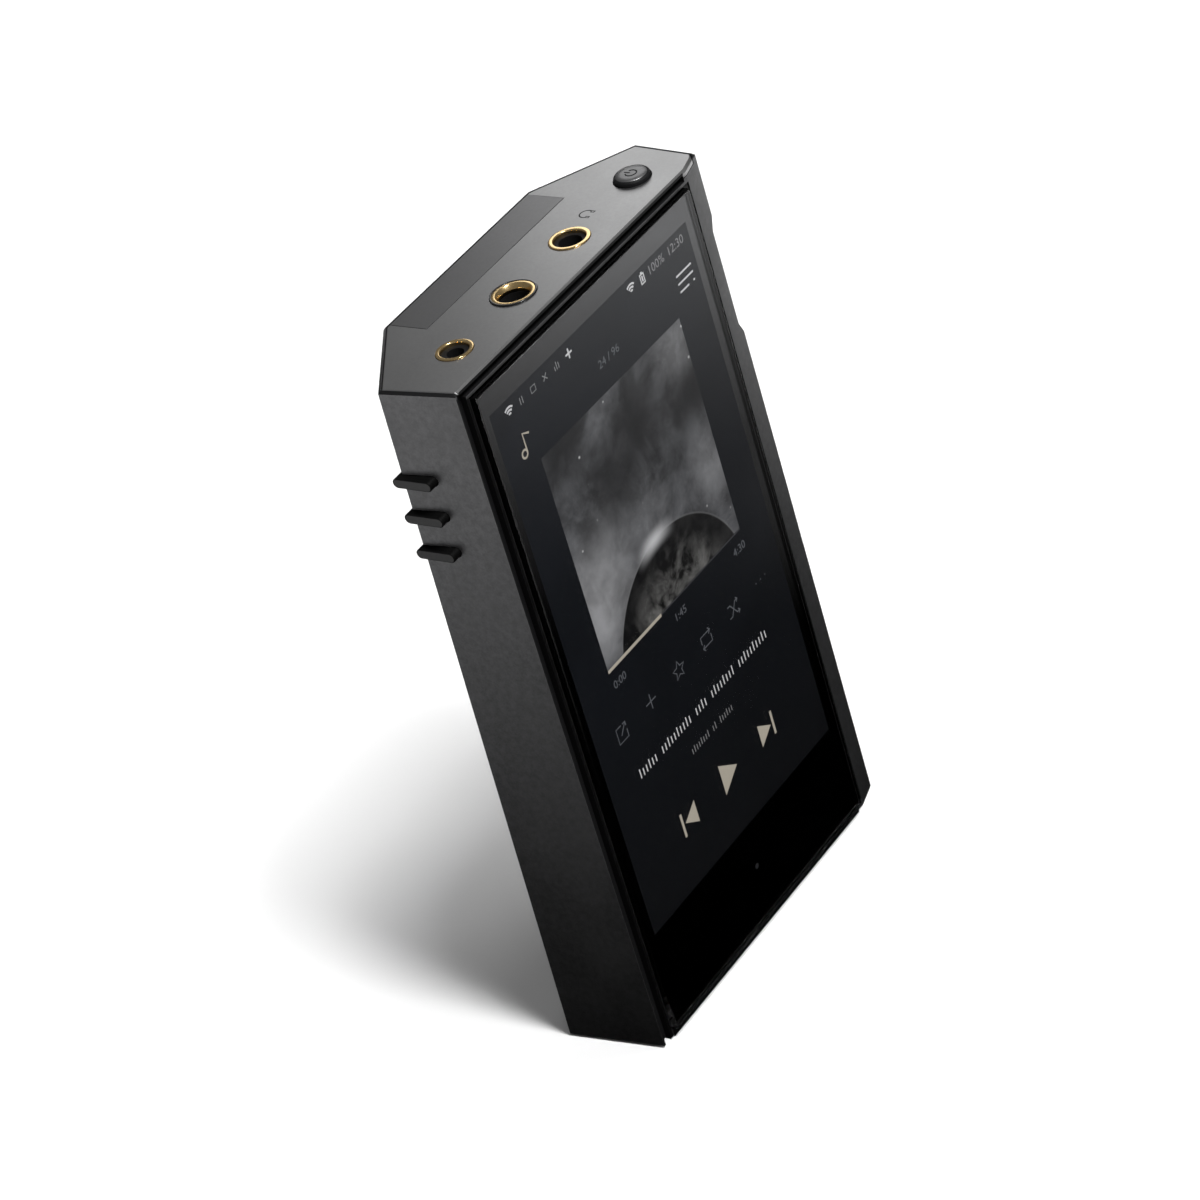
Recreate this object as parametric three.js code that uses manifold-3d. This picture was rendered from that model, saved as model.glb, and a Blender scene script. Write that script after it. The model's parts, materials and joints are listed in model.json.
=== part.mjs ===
// Hand-held digital audio player: milled six-sided body, touch display, three jacks, keys and volume wheel.
// Millimetres, +Z up. The design frame has X to the right from the left front edge of the body,
// Y backward from the front plane of the body and Z up from the bottom. The whole assembly is then
// moved so that the origin is the centre of its footprint.
import * as THREE from 'three';
import { ConvexGeometry } from 'three/addons/geometries/ConvexGeometry.js';
import { mergeVertices } from 'three/addons/utils/BufferGeometryUtils.js';
import Module from 'manifold-3d';

const wasm = await Module();
wasm.setup();

// Body
const BODY_HEIGHT = 117;
const FRONT_WIDTH = 65;
const BACK_DEPTH = 22.4;
const RIDGE_DEPTH_TOP = 12.5;
const RIDGE_DEPTH_BOTTOM = 16.5;
const SIDE_FLARE = 0.101;
const FACET_RUN = 1.524;
const STRIP_LEFT = 60.45;
const STRIP_SETBACK = 1.3;
const WALL = 1.6;
const FRONT_WALL = 2.4;
const FLOOR = 1.8;
const EDGE_CHAMFER = 0.4;
const FIT_GAP = 0.1;
const SLIP_GAP = 0.05;
const CUT_REACH = 10;

// Shadow groove along the left and the top of the front
const GROOVE_LEFT = 0.35;
const GROOVE_RIGHT = 2.1;
const GROOVE_LOW = 115.4;
const GROOVE_HIGH = 116.6;
const GROOVE_DEPTH = 1.4;
const GROOVE_END = 59.6;
const LINER_THICKNESS = 0.3;

// Display pocket and its rim
const RIM_WIDTH = 0.4;
const POCKET_LEFT = GROOVE_RIGHT + RIM_WIDTH;
const POCKET_RIGHT = STRIP_LEFT;
const POCKET_LOW = 1.3;
const POCKET_HIGH = GROOVE_LOW - RIM_WIDTH;
const POCKET_DEPTH = 0.5;

// Cover glass and display
const GLASS_LEFT = 2.8;
const GLASS_RIGHT = 59.0;
const GLASS_LOW = 1.6;
const GLASS_HIGH = 114.75;
const GLASS_FRONT = -1.1;
const GLASS_BACK = 0.2;
const GLASS_CHAMFER = 0.25;
const SCREEN_CENTRE_X = 30.75;
const SCREEN_WIDTH = 51.9;
const SCREEN_HEIGHT = 92.3;
const SCREEN_TOP = 110.5;
const PANEL_BORDER = 0.7;
const PANEL_FRONT = 0.35;
const PANEL_THICKNESS = 1.4;
const BACKPLATE_THICKNESS = 0.5;
const HOME_LIGHT_X = 31.2;
const HOME_LIGHT_Z = 10.8;
const HOME_LIGHT_RADIUS = 0.6;

// Top plate
const PLATE_THICKNESS = 1;
const PLATE_SEAT = 0.5;
const SEAT_FRONT = [[0.8, -2], [STRIP_LEFT + 0.6, -2]];
const WINDOW_LEFT = 14.6;
const WINDOW_RIGHT = 50.4;
const WINDOW_FRONT = 15.1;
const WINDOW_BACK = 21.7;
const WINDOW_THICKNESS = 0.6;
const WINDOW_PROUD = 0.03;
const PLATE_CHAMFER = 0.12;
const PLATE_FRONT = 0.02;
const PLATE_LEFT = 0.72;
const PLATE_CORNER = [STRIP_LEFT + 3.2, 0.9];

// Back cover
const COVER_MARGIN = 1.4;
const COVER_LEDGE = 1.6;
const COVER_THICKNESS = 0.8;
const COVER_LOW = 4;
const COVER_HIGH = 112.5;

// Jacks: one row along the top, each with its own bore
const JACK_Y = 7.2;
const JACK_BODY_DEPTH = 7.6;
const JACK_BODY_HEIGHT = 14;
const JACKS = {
  jack_25: { x: 10.35, ring: 2.78, lip: 2.25, bore: 1.3, width: 7.2 },
  jack_44: { x: 25.3, ring: 3.22, lip: 2.4, bore: 2.25, width: 9 },
  jack_35: { x: 40.05, ring: 3.15, lip: 2.5, bore: 1.8, width: 7.8 },
};
const JACK_DROP = 0.3;
const JACK_FLOOR = 1.2;
const NOZZLE_DROP = 0.45;
const RING_PROUD = 0.15;
const RING_CHAMFER = 0.1;
const RING_FLARE = 0.12;
const RING_FLARE_WIDE = 0.4;
const COLLAR_RADIUS = 3.5;
const COLLAR_PROUD = 0.22;
const COLLAR_CHAMFER = 0.15;
const COLLAR_GAP = 0.06;

// Power key
const POWER_X = 57.1;
const POWER_Y = 7.2;
const POWER_RADIUS = 2.8;
const POWER_PROUD = 0.85;
const POWER_FLANGE_RADIUS = 3.45;
const POWER_FLANGE_THICKNESS = 0.5;
const POWER_STEM_RADIUS = 1.4;
const POWER_STEM_DEPTH = 5;
const POWER_DISH_RADIUS = 1.7;
const POWER_RIM_RADIUS = 1.95;
const POWER_DISH_DEPTH = 0.15;
const POWER_CLEARANCE = 0.15;
const POWER_SWITCH_Z = 108.8;
const POWER_SWITCH = [-2.4, 2.4, -2.4, 2.4, 0, 1.8];
const POWER_PLUNGER = { low: 1.7, high: 2.4, radius: 1.1 };

// Side keys
const KEY_FRONT = 7.4;
const KEY_BACK = 14.2;
const KEY_THICKNESS = 1.6;
const KEY_OUTER_X = -2.4;
const KEY_INNER_X = 0.9;
const KEY_HEIGHTS = { key_previous: 102.4, key_play: 96.4, key_next: 90.4 };
const KEY_SLOT_DEPTH = 1.6;
const KEY_CLEARANCE = 0.12;
const KEY_CROWN = 0.3;
const KEY_NECK = { x0: 0.6, x1: 1.75, y0: 8.2, y1: 11.6, half: 0.65 };
const KEY_FLANGE = { x0: 1.65, x1: 2.2, y0: 6.4, y1: 12, half: 1.5 };
const KEY_PIN = { x0: 2.1, x1: 2.45, radius: 0.6 };
const SWITCH_Y = 9.4;
const SWITCH_BODY = { x0: 3.5, x1: 4.6, y0: 7.6, y1: 11.2, half: 1.7 };
const SWITCH_DOME = { x0: 3.05, x1: 3.6, radius: 0.8 };

// Volume wheel in its recess on the right side
const WHEEL_Y = 8.2;
const WHEEL_Z = 96.3;
const WHEEL_RADIUS = 5.6;
const WHEEL_TEETH = 48;
const WHEEL_TOOTH = 0.22;
const WHEEL_INNER_ROUND = 0.3;
const WHEEL_OUTER_ROUND = [0.6, 0.5];
const WHEEL_RIM_WIDTH = 1.4;
const WHEEL_DISH = [1.8, 0.3];
const WHEEL_FACE_THICKNESS = 0.7;
const WHEEL_INNER_X = 64.35;
const WHEEL_OUTER_X = 65.95;
const RECESS_X = 64;
const RECESS_HALF_HEIGHT = 8;
const RECESS_SLOPE = 1.82;
const RECESS_REACH = 4;
const LIGHT_RING_INNER = 5.8;
const LIGHT_RING_OUTER = 6.25;
const LIGHT_RING_SEAT = 0.8;
const LIGHT_RING_GAP = 0.08;
const SHAFT_RADIUS = 1.5;
const BUSH_RADIUS = 2.6;
const SHAFT_INNER_X = 62;
const SHAFT_GAP = 0.08;
const PAD_INNER_X = 62.2;
const PAD_OUTER_X = 68;
const PAD_BACK = 15.4;
const PAD_LOW = 81;
const PAD_HIGH = 111.5;

// Inside
const BOARD_Y = 12;
const BOARD_THICKNESS = 1;
const AUDIO_BOARD_Y = 16.8;
const AUDIO_BOARD_THICKNESS = 0.8;
const MAIN_BOARD = [[2.6, 5], [61.9, 5], [61.9, 84], [54, 84], [54, 112], [6.2, 112], [6.2, 84], [2.6, 84]];
const BATTERY = { x0: 7.5, x1: 57.5, y0: 3.4, y1: 11.3, z0: 17, z1: 84 };
const BATTERY_PAD = { side: 3, thickness: 0.5, z0: 34, top: 4 };
const BOSS_RADIUS = 1.7;
const SCREW_RADIUS = 0.7;
const SCREW_LENGTH = 4;
const SCREW_HOLE_SPARE = 0.4;
const SCREW_HEAD_RADIUS = 1.5;
const SCREW_HEAD_HEIGHT = 0.9;
const BOSSES = [
  [4.4, 30],
  [60.6, 30],
  [4.4, 78],
  [60.6, 78],
];
const USB_X = 32.5;
const USB_Y = 9.9;
const CARD_X = 46;
const CARD_Y = 14.3;
const USB_MOUTH = [9.2, 3.4];
const USB_SHELL = [8.94, 3.2];
const USB_BORE = [8.34, 2.56];
const USB_SHELL_LOW = 0.15;
const USB_SHELL_TOP = 8;
const USB_BORE_TOP = 6.5;
const USB_TONGUE = { half: [3.3, 0.35], low: 1.2, high: 6.6 };
const CARD_MOUTH = [6, 0.6];
const CARD_BODY = [7, 0.95];
const CARD_BORE = [5.8, 0.5];
const CARD_TOP = 17;
const CARD_BORE_TOP = 16;

// Boxes inside the body: x0, x1, y0, y1, z0, z1
const ANTENNA_PLATE = [17, 48, 15.6, 19.4, 115.1, 115.5];
const POWER_BOARD = [52.5, 61.5, 3.6, 11.4, 107.6, 108.6];
const KEY_BOARD = [4.7, 5.5, 5, 11.7, 86.5, 107.5];
const ENCODER_BODY = [57.2, 61.8, 3.2, 13.2, 91.3, 101.3];
const ENCODER_BOARD = [56.2, 57, 3, 13.4, 87.8, 104.8];

// Parts on the back of the boards: x0, x1, z0, z1 and height above the board
const AUDIO_BOARD = [13, 52, 68, 109];
const BOARD_CONNECTOR = [24, 41, 96, 100];
const BOARD_POST = { x: 32.5, z: 72, radius: 1.8 };
const ON_MAIN_BOARD = {
  processor_shield: { area: [14, 40, 36, 62], height: 2.2, material: 'tin' },
  memory_chip: { area: [44, 55, 42, 56], height: 1.1, material: 'chip' },
  crystal_can: { area: [44, 48, 62, 64.5], height: 1.2, material: 'tin' },
};
const ON_AUDIO_BOARD = {
  converter_shield: { area: [16, 31, 78, 104], height: 1.9, material: 'tin' },
  amplifier_shield: { area: [34, 49, 78, 104], height: 1.9, material: 'tin' },
};

// Ribbons: path as [y, z] points, then the two ends along X
const RIBBON_HALF_THICKNESS = 0.12;
const RIBBONS = {
  display_ribbon: { path: [[2.75, 30], [2.75, 12], [4.5, 9.5], [9, 9.5], [11.5, 10.5]], x: [13, 25] },
  key_ribbon: { path: [[6, 86.2], [6, 85.2], [7.5, 84.6], [11.4, 84.6]], x: [4.3, 6.9] },
  battery_ribbon: { path: [[7.3, 16.9], [7.3, 14.5], [8.6, 13], [11.6, 13]], x: [46, 52] },
};
const ROUND_SEGMENTS = 32;

// Colours with roughness and metalness
const MATERIALS = {
  aluminium_dark: [0x4a4a4b, 0.5, 0.85],
  aluminium_satin: [0x77787a, 0.35, 0.9],
  black_matte: [0x0b0b0c, 0.7, 0],
  black_gloss: [0x08080a, 0.08, 0],
  back_dark: [0x1b1b1d, 0.35, 0.2],
  gold: [0xc8a868, 0.25, 1],
  rubber_black: [0x111113, 0.85, 0],
  light_guide: [0xe8ecf2, 0.3, 0],
  board_green: [0x123a2a, 0.55, 0.05],
  tin: [0xa9abad, 0.35, 0.9],
  chip: [0x17181a, 0.5, 0],
  pouch: [0x8f9194, 0.4, 0.7],
  ribbon: [0x8a5a22, 0.45, 0.1],
  steel: [0x8c8e91, 0.3, 1],
};

const group = new THREE.Group();
const model = new THREE.Group();
group.add(model);

function toSolid(geometry) {
  const bare = geometry.clone();
  for (const name of Object.keys(bare.attributes)) {
    if (name !== 'position') bare.deleteAttribute(name);
  }
  const merged = mergeVertices(bare, 1e-5);
  return new wasm.Manifold(new wasm.Mesh({
    numProp: 3,
    vertProperties: new Float32Array(merged.attributes.position.array),
    triVerts: new Uint32Array(merged.index.array),
  }));
}

function toGeometry(solid) {
  const mesh = solid.getMesh();
  const geometry = new THREE.BufferGeometry();
  geometry.setAttribute('position', new THREE.BufferAttribute(mesh.vertProperties, 3));
  geometry.setIndex(new THREE.BufferAttribute(mesh.triVerts, 1));
  geometry.computeVertexNormals();
  return geometry;
}

function joined(first, ...others) {
  return others.reduce((solid, next) => solid.add(toSolid(next)), toSolid(first));
}

function cutFrom(solid, ...tools) {
  return tools.reduce((rest, tool) => rest.subtract(toSolid(tool)), solid);
}

function place(name, geometry, material, position = [0, 0, 0]) {
  const [color, roughness, metalness] = MATERIALS[material];
  const mesh = new THREE.Mesh(geometry, new THREE.MeshStandardMaterial({ color, roughness, metalness }));
  mesh.name = name;
  mesh.position.set(...position);
  model.add(mesh);
  return mesh;
}

function box(x0, x1, y0, y1, z0, z1) {
  const geometry = new THREE.BoxGeometry(x1 - x0, y1 - y0, z1 - z0);
  return geometry.translate((x0 + x1) / 2, (y0 + y1) / 2, (z0 + z1) / 2);
}

function extruded(shape, depth) {
  return new THREE.ExtrudeGeometry(shape, { depth, bevelEnabled: false, curveSegments: 7 });
}

// Extrusions along each axis; the outline is drawn in the plane of the two other axes.
function alongZ(shape, z0, z1) {
  return extruded(shape, z1 - z0).translate(0, 0, z0);
}

function alongY(shape, y0, y1) {
  return extruded(shape, y1 - y0).rotateX(Math.PI / 2).translate(0, y1, 0);
}

function alongX(shape, x0, x1) {
  const turn = new THREE.Matrix4().makeBasis(
    new THREE.Vector3(0, 1, 0),
    new THREE.Vector3(0, 0, 1),
    new THREE.Vector3(1, 0, 0),
  );
  return extruded(shape, x1 - x0).applyMatrix4(turn).translate(x0, 0, 0);
}

function outline(points) {
  return new THREE.Shape(points.map(([a, b]) => new THREE.Vector2(a, b)));
}

function stadium(centreA, centreB, lengthA, heightB) {
  const radius = heightB / 2;
  const reach = lengthA / 2 - radius;
  const shape = new THREE.Shape();
  shape.absarc(centreA + reach, centreB, radius, -Math.PI / 2, Math.PI / 2, false);
  shape.absarc(centreA - reach, centreB, radius, Math.PI / 2, Math.PI * 1.5, false);
  return shape;
}

// Solid of revolution about +Z from [radius, height] pairs, moved to a point.
function turned(profile, x, y, z) {
  const points = profile.map(([r, h]) => new THREE.Vector2(r, h));
  const geometry = new THREE.LatheGeometry(points, ROUND_SEGMENTS);
  return geometry.rotateX(Math.PI / 2).translate(x, y, z);
}

function rodZ(x, y, z0, z1, radius) {
  const geometry = new THREE.CylinderGeometry(radius, radius, z1 - z0, ROUND_SEGMENTS);
  return geometry.rotateX(Math.PI / 2).translate(x, y, (z0 + z1) / 2);
}

function rodY(x, z, y0, y1, radius) {
  const geometry = new THREE.CylinderGeometry(radius, radius, y1 - y0, ROUND_SEGMENTS);
  return geometry.translate(x, (y0 + y1) / 2, z);
}

function rodX(y, z, x0, x1, radius) {
  const geometry = new THREE.CylinderGeometry(radius, radius, x1 - x0, ROUND_SEGMENTS);
  return geometry.rotateZ(Math.PI / 2).translate((x0 + x1) / 2, y, z);
}

function ringX(y, z, x0, x1, inner, outer) {
  return toGeometry(cutFrom(toSolid(rodX(y, z, x0, x1, outer)), rodX(y, z, x0 - 1, x1 + 1, inner)));
}

// Corners of the body in plan at a height, counter-clockwise seen from above.
function bodySection(height) {
  const share = height / BODY_HEIGHT;
  const ridge = RIDGE_DEPTH_BOTTOM + (RIDGE_DEPTH_TOP - RIDGE_DEPTH_BOTTOM) * share;
  const flare = SIDE_FLARE * ridge;
  const run = FACET_RUN * (BACK_DEPTH - ridge) - flare;
  return [
    [0, 0],
    [STRIP_LEFT, 0],
    [FRONT_WIDTH + SIDE_FLARE * STRIP_SETBACK, STRIP_SETBACK],
    [FRONT_WIDTH + flare, ridge],
    [FRONT_WIDTH - run, BACK_DEPTH],
    [run, BACK_DEPTH],
    [-flare, ridge],
  ];
}

// Moves every side of a convex outline inward by a distance.
function insetOutline(points, distance) {
  const count = points.length;
  const sides = points.map((point, i) => {
    const next = points[(i + 1) % count];
    const length = Math.hypot(next[0] - point[0], next[1] - point[1]);
    const along = [(next[0] - point[0]) / length, (next[1] - point[1]) / length];
    return { start: [point[0] - along[1] * distance, point[1] + along[0] * distance], along };
  });
  return sides.map((side, i) => {
    const before = sides[(i + count - 1) % count];
    const cross = before.along[0] * side.along[1] - before.along[1] * side.along[0];
    const gap = [side.start[0] - before.start[0], side.start[1] - before.start[1]];
    const step = (gap[0] * side.along[1] - gap[1] * side.along[0]) / cross;
    return [before.start[0] + before.along[0] * step, before.start[1] + before.along[1] * step];
  });
}

// Convex block between plan outlines at given heights: [[height, sectionHeight, inset], ...].
function bodyBlock(levels) {
  const points = [];
  for (const [height, sectionHeight, inset] of levels) {
    for (const [x, y] of insetOutline(bodySection(sectionHeight), inset)) {
      points.push(new THREE.Vector3(x, y, height));
    }
  }
  return new ConvexGeometry(points);
}

function recessCut() {
  const low = WHEEL_Z - RECESS_HALF_HEIGHT;
  const high = WHEEL_Z + RECESS_HALF_HEIGHT;
  const spread = RECESS_REACH * RECESS_SLOPE;
  const shape = outline([
    [RECESS_X, low],
    [RECESS_X + RECESS_REACH, low - spread],
    [RECESS_X + RECESS_REACH, high + spread],
    [RECESS_X, high],
  ]);
  return alongY(shape, -CUT_REACH, BACK_DEPTH + CUT_REACH);
}

function coverOutline(margin) {
  const low = bodySection(COVER_LOW);
  const high = bodySection(COVER_HIGH);
  return outline([
    [low[5][0] + margin, COVER_LOW + margin - COVER_MARGIN],
    [low[4][0] - margin, COVER_LOW + margin - COVER_MARGIN],
    [high[4][0] - margin, COVER_HIGH - margin + COVER_MARGIN],
    [high[5][0] + margin, COVER_HIGH - margin + COVER_MARGIN],
  ]);
}

function keySlot(height) {
  const spare = KEY_CLEARANCE * 2;
  const shape = stadium((KEY_FRONT + KEY_BACK) / 2, height, KEY_BACK - KEY_FRONT + spare, KEY_THICKNESS + spare);
  return alongX(shape, KEY_OUTER_X - 2, KEY_SLOT_DEPTH);
}

function makeHousing() {
  const outer = bodyBlock([
    [0, 0, EDGE_CHAMFER],
    [EDGE_CHAMFER, EDGE_CHAMFER, 0],
    [BODY_HEIGHT - EDGE_CHAMFER, BODY_HEIGHT - EDGE_CHAMFER, 0],
    [BODY_HEIGHT, BODY_HEIGHT, EDGE_CHAMFER],
  ]);
  const hollow = toSolid(bodyBlock([[FLOOR, FLOOR, WALL], [BODY_HEIGHT + 1, BODY_HEIGHT, WALL]]))
    .subtract(toSolid(box(-CUT_REACH, FRONT_WIDTH + CUT_REACH, -CUT_REACH, FRONT_WALL, -CUT_REACH,
      BODY_HEIGHT + CUT_REACH)));
  let solid = toSolid(outer).subtract(hollow);
  const pad = toSolid(box(PAD_INNER_X, PAD_OUTER_X, FRONT_WALL - 0.1, PAD_BACK, PAD_LOW, PAD_HIGH))
    .intersect(toSolid(outer));
  solid = solid.add(pad);
  for (const [x, z] of BOSSES) {
    const holeFront = BOARD_Y - SCREW_LENGTH - SCREW_HOLE_SPARE;
    solid = solid.add(toSolid(rodY(x, z, FRONT_WALL - 0.2, BOARD_Y - FIT_GAP, BOSS_RADIUS)));
    solid = solid.subtract(toSolid(rodY(x, z, holeFront, BOARD_Y + 2, SCREW_RADIUS + FIT_GAP)));
  }
  solid = cutFrom(
    solid,
    recessCut(),
    rodX(WHEEL_Y, WHEEL_Z, PAD_INNER_X - 1, RECESS_X + 1, BUSH_RADIUS + FIT_GAP),
    ringX(WHEEL_Y, WHEEL_Z, RECESS_X - LIGHT_RING_SEAT, RECESS_X + 1, LIGHT_RING_INNER - LIGHT_RING_GAP,
      LIGHT_RING_OUTER + LIGHT_RING_GAP),
    box(POCKET_LEFT, POCKET_RIGHT, -1, POCKET_DEPTH, POCKET_LOW, POCKET_HIGH),
    box(GROOVE_LEFT, GROOVE_RIGHT, -1, GROOVE_DEPTH, -1, GROOVE_HIGH),
    box(GROOVE_LEFT, GROOVE_END, -1, GROOVE_DEPTH, GROOVE_LOW, GROOVE_HIGH),
    screenBlock(PANEL_BORDER + 0.3, 0, FRONT_WALL + 1),
    rodY(HOME_LIGHT_X, HOME_LIGHT_Z, 0, FRONT_WALL + 1, HOME_LIGHT_RADIUS + FIT_GAP),
    plateSeat(),
    alongY(coverOutline(COVER_MARGIN), BACK_DEPTH - COVER_THICKNESS, BACK_DEPTH + 1),
    alongY(coverOutline(COVER_MARGIN + COVER_LEDGE), BACK_DEPTH - WALL - 1, BACK_DEPTH + 1),
    alongZ(stadium(USB_X, USB_Y, ...USB_MOUTH), -1, FLOOR + 1),
    cardBox(CARD_MOUTH, -1, FLOOR + 1),
    ...Object.values(KEY_HEIGHTS).map(keySlot),
  );
  place('housing', toGeometry(solid), 'aluminium_dark');
}

function cardBox([halfWidth, halfDepth], z0, z1) {
  return box(CARD_X - halfWidth, CARD_X + halfWidth, CARD_Y - halfDepth, CARD_Y + halfDepth, z0, z1);
}

// The seat of the top plate is open to the front.
function plateSeat() {
  const points = [];
  const corners = insetOutline(bodySection(BODY_HEIGHT), PLATE_SEAT);
  for (const [x, y] of [...corners, ...SEAT_FRONT]) {
    for (const height of [BODY_HEIGHT - PLATE_THICKNESS - FIT_GAP, BODY_HEIGHT + 2]) {
      points.push(new THREE.Vector3(x, y, height));
    }
  }
  return new ConvexGeometry(points);
}

function screenBlock(border, y0, y1) {
  const half = SCREEN_WIDTH / 2 + border;
  const low = SCREEN_TOP - SCREEN_HEIGHT - border;
  return box(SCREEN_CENTRE_X - half, SCREEN_CENTRE_X + half, y0, y1, low, SCREEN_TOP + border);
}

// Black L-shaped strip on the floor of the shadow groove.
function makeGrooveLiner() {
  const front = GROOVE_DEPTH - LINER_THICKNESS;
  const back = GROOVE_DEPTH - 0.02;
  const left = GROOVE_LEFT + SLIP_GAP;
  const high = GROOVE_HIGH - FIT_GAP;
  const solid = joined(
    box(left, GROOVE_RIGHT - SLIP_GAP, front, back, EDGE_CHAMFER, high),
    box(left, GROOVE_END - SLIP_GAP, front, back, GROOVE_LOW + SLIP_GAP, high),
  );
  place('groove_liner', toGeometry(solid), 'black_matte');
}

function makeTopPlate() {
  const low = BODY_HEIGHT - PLATE_THICKNESS;
  const points = [];
  const edge = PLATE_SEAT + FIT_GAP;
  const levels = [
    [low, edge],
    [BODY_HEIGHT - PLATE_CHAMFER, edge],
    [BODY_HEIGHT, edge + PLATE_CHAMFER],
  ];
  for (const [height, inset] of levels) {
    for (const [x, y] of insetOutline(bodySection(BODY_HEIGHT), inset)) {
      points.push(new THREE.Vector3(x, y, height));
    }
  }
  for (const [x, y] of [[PLATE_LEFT, PLATE_FRONT], [STRIP_LEFT, PLATE_FRONT], PLATE_CORNER]) {
    points.push(new THREE.Vector3(x, y, low));
    points.push(new THREE.Vector3(x, y, BODY_HEIGHT - EDGE_CHAMFER));
    points.push(new THREE.Vector3(x, y + EDGE_CHAMFER, BODY_HEIGHT));
  }
  let solid = cutFrom(
    toSolid(new ConvexGeometry(points)),
    box(-2, GROOVE_END, -1, GROOVE_DEPTH, BODY_HEIGHT - CUT_REACH, GROOVE_HIGH),
    plateHole(POWER_X, POWER_Y, POWER_RADIUS + POWER_CLEARANCE),
    box(WINDOW_LEFT - SLIP_GAP, WINDOW_RIGHT + SLIP_GAP, WINDOW_FRONT - SLIP_GAP, WINDOW_BACK + SLIP_GAP,
      BODY_HEIGHT - WINDOW_THICKNESS - SLIP_GAP, BODY_HEIGHT + CUT_REACH),
  );
  for (const [name, jack] of Object.entries(JACKS)) {
    const radius = name === 'jack_44' ? COLLAR_RADIUS : jack.ring;
    solid = cutFrom(solid, plateHole(jack.x, JACK_Y, radius + COLLAR_GAP));
  }
  place('top_plate', toGeometry(solid), 'aluminium_satin');
}

function plateHole(x, y, radius) {
  return rodZ(x, y, BODY_HEIGHT - CUT_REACH, BODY_HEIGHT + CUT_REACH, radius);
}

function makeAntenna() {
  const low = BODY_HEIGHT - WINDOW_THICKNESS;
  const high = BODY_HEIGHT + WINDOW_PROUD;
  place('antenna_window', box(WINDOW_LEFT, WINDOW_RIGHT, WINDOW_FRONT, WINDOW_BACK, low, high), 'black_matte');
  place('antenna_plate', box(...ANTENNA_PLATE), 'ribbon');
}

function makeBackCover() {
  const shape = coverOutline(COVER_MARGIN + FIT_GAP);
  const front = BACK_DEPTH - COVER_THICKNESS + SLIP_GAP;
  place('back_cover', alongY(shape, front, BACK_DEPTH + SLIP_GAP), 'back_dark');
}

function makeGlass() {
  const points = [];
  const c = GLASS_CHAMFER;
  for (const [y, inset] of [[GLASS_BACK, 0], [GLASS_FRONT + c, 0], [GLASS_FRONT, c]]) {
    for (const x of [GLASS_LEFT + inset, GLASS_RIGHT - inset]) {
      for (const z of [GLASS_LOW + inset, GLASS_HIGH - inset]) {
        points.push(new THREE.Vector3(x, y, z));
      }
    }
  }
  place('cover_glass', new ConvexGeometry(points), 'black_gloss');
}

// Black adhesive ring between the glass and the floor of its pocket.
function makeGasket() {
  const solid = cutFrom(
    toSolid(box(POCKET_LEFT + FIT_GAP, POCKET_RIGHT - FIT_GAP, GLASS_BACK + 0.04, POCKET_DEPTH - 0.02,
      POCKET_LOW + FIT_GAP, POCKET_HIGH - FIT_GAP)),
    screenBlock(PANEL_BORDER + 0.3, -1, 3),
    rodY(HOME_LIGHT_X, HOME_LIGHT_Z, -1, 3, HOME_LIGHT_RADIUS + FIT_GAP),
  );
  place('glass_gasket', toGeometry(solid), 'rubber_black');
}

function makeDisplay() {
  const back = PANEL_FRONT + PANEL_THICKNESS;
  place('display_panel', screenBlock(PANEL_BORDER, PANEL_FRONT, back), 'black_gloss');
  const plateFront = back + FIT_GAP;
  place('display_backplate', screenBlock(PANEL_BORDER, plateFront, plateFront + BACKPLATE_THICKNESS), 'tin');
  place('home_light', rodY(HOME_LIGHT_X, HOME_LIGHT_Z, GLASS_BACK + 0.06, FRONT_WALL, HOME_LIGHT_RADIUS),
    'light_guide');
  placeRibbon('display_ribbon');
}

// Flat ribbon of constant width along X; the path is given in the YZ plane.
function placeRibbon(name) {
  const { path, x } = RIBBONS[name];
  const half = RIBBON_HALF_THICKNESS;
  const near = [];
  const far = [];
  path.forEach(([y, z], i) => {
    const [py, pz] = path[Math.max(i - 1, 0)];
    const [ny, nz] = path[Math.min(i + 1, path.length - 1)];
    const length = Math.hypot(ny - py, nz - pz);
    const across = [-(nz - pz) / length * half, (ny - py) / length * half];
    near.push([y + across[0], z + across[1]]);
    far.unshift([y - across[0], z - across[1]]);
  });
  place(name, alongX(outline([...near, ...far]), ...x), 'ribbon');
}

function makeJack(name, { x, ring, lip, bore, width }) {
  const top = BODY_HEIGHT;
  const bodyTop = top - PLATE_THICKNESS - JACK_DROP;
  const low = bodyTop - JACK_BODY_HEIGHT;
  const ringLow = SLIP_GAP - PLATE_THICKNESS;
  const wide = name === 'jack_44';
  const flare = wide ? RING_FLARE_WIDE : RING_FLARE;
  const nozzleTop = wide ? top - PLATE_THICKNESS - FIT_GAP : top - NOZZLE_DROP;
  place(`${name}_ring`, turned([
    [lip, ringLow],
    [ring, ringLow],
    [ring, RING_PROUD - RING_CHAMFER],
    [ring - RING_CHAMFER, RING_PROUD],
    [lip + flare, RING_PROUD],
    [lip, -flare],
    [lip, ringLow],
  ], x, JACK_Y, top), 'gold');
  const body = cutFrom(
    joined(
      box(x - width / 2, x + width / 2, JACK_Y - JACK_BODY_DEPTH / 2, JACK_Y + JACK_BODY_DEPTH / 2, low, bodyTop),
      rodZ(x, JACK_Y, low + 1, nozzleTop, lip - COLLAR_GAP),
    ),
    rodZ(x, JACK_Y, low + JACK_FLOOR, top + 1, bore),
  );
  place(`${name}_body`, toGeometry(body), 'black_matte');
}

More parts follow.
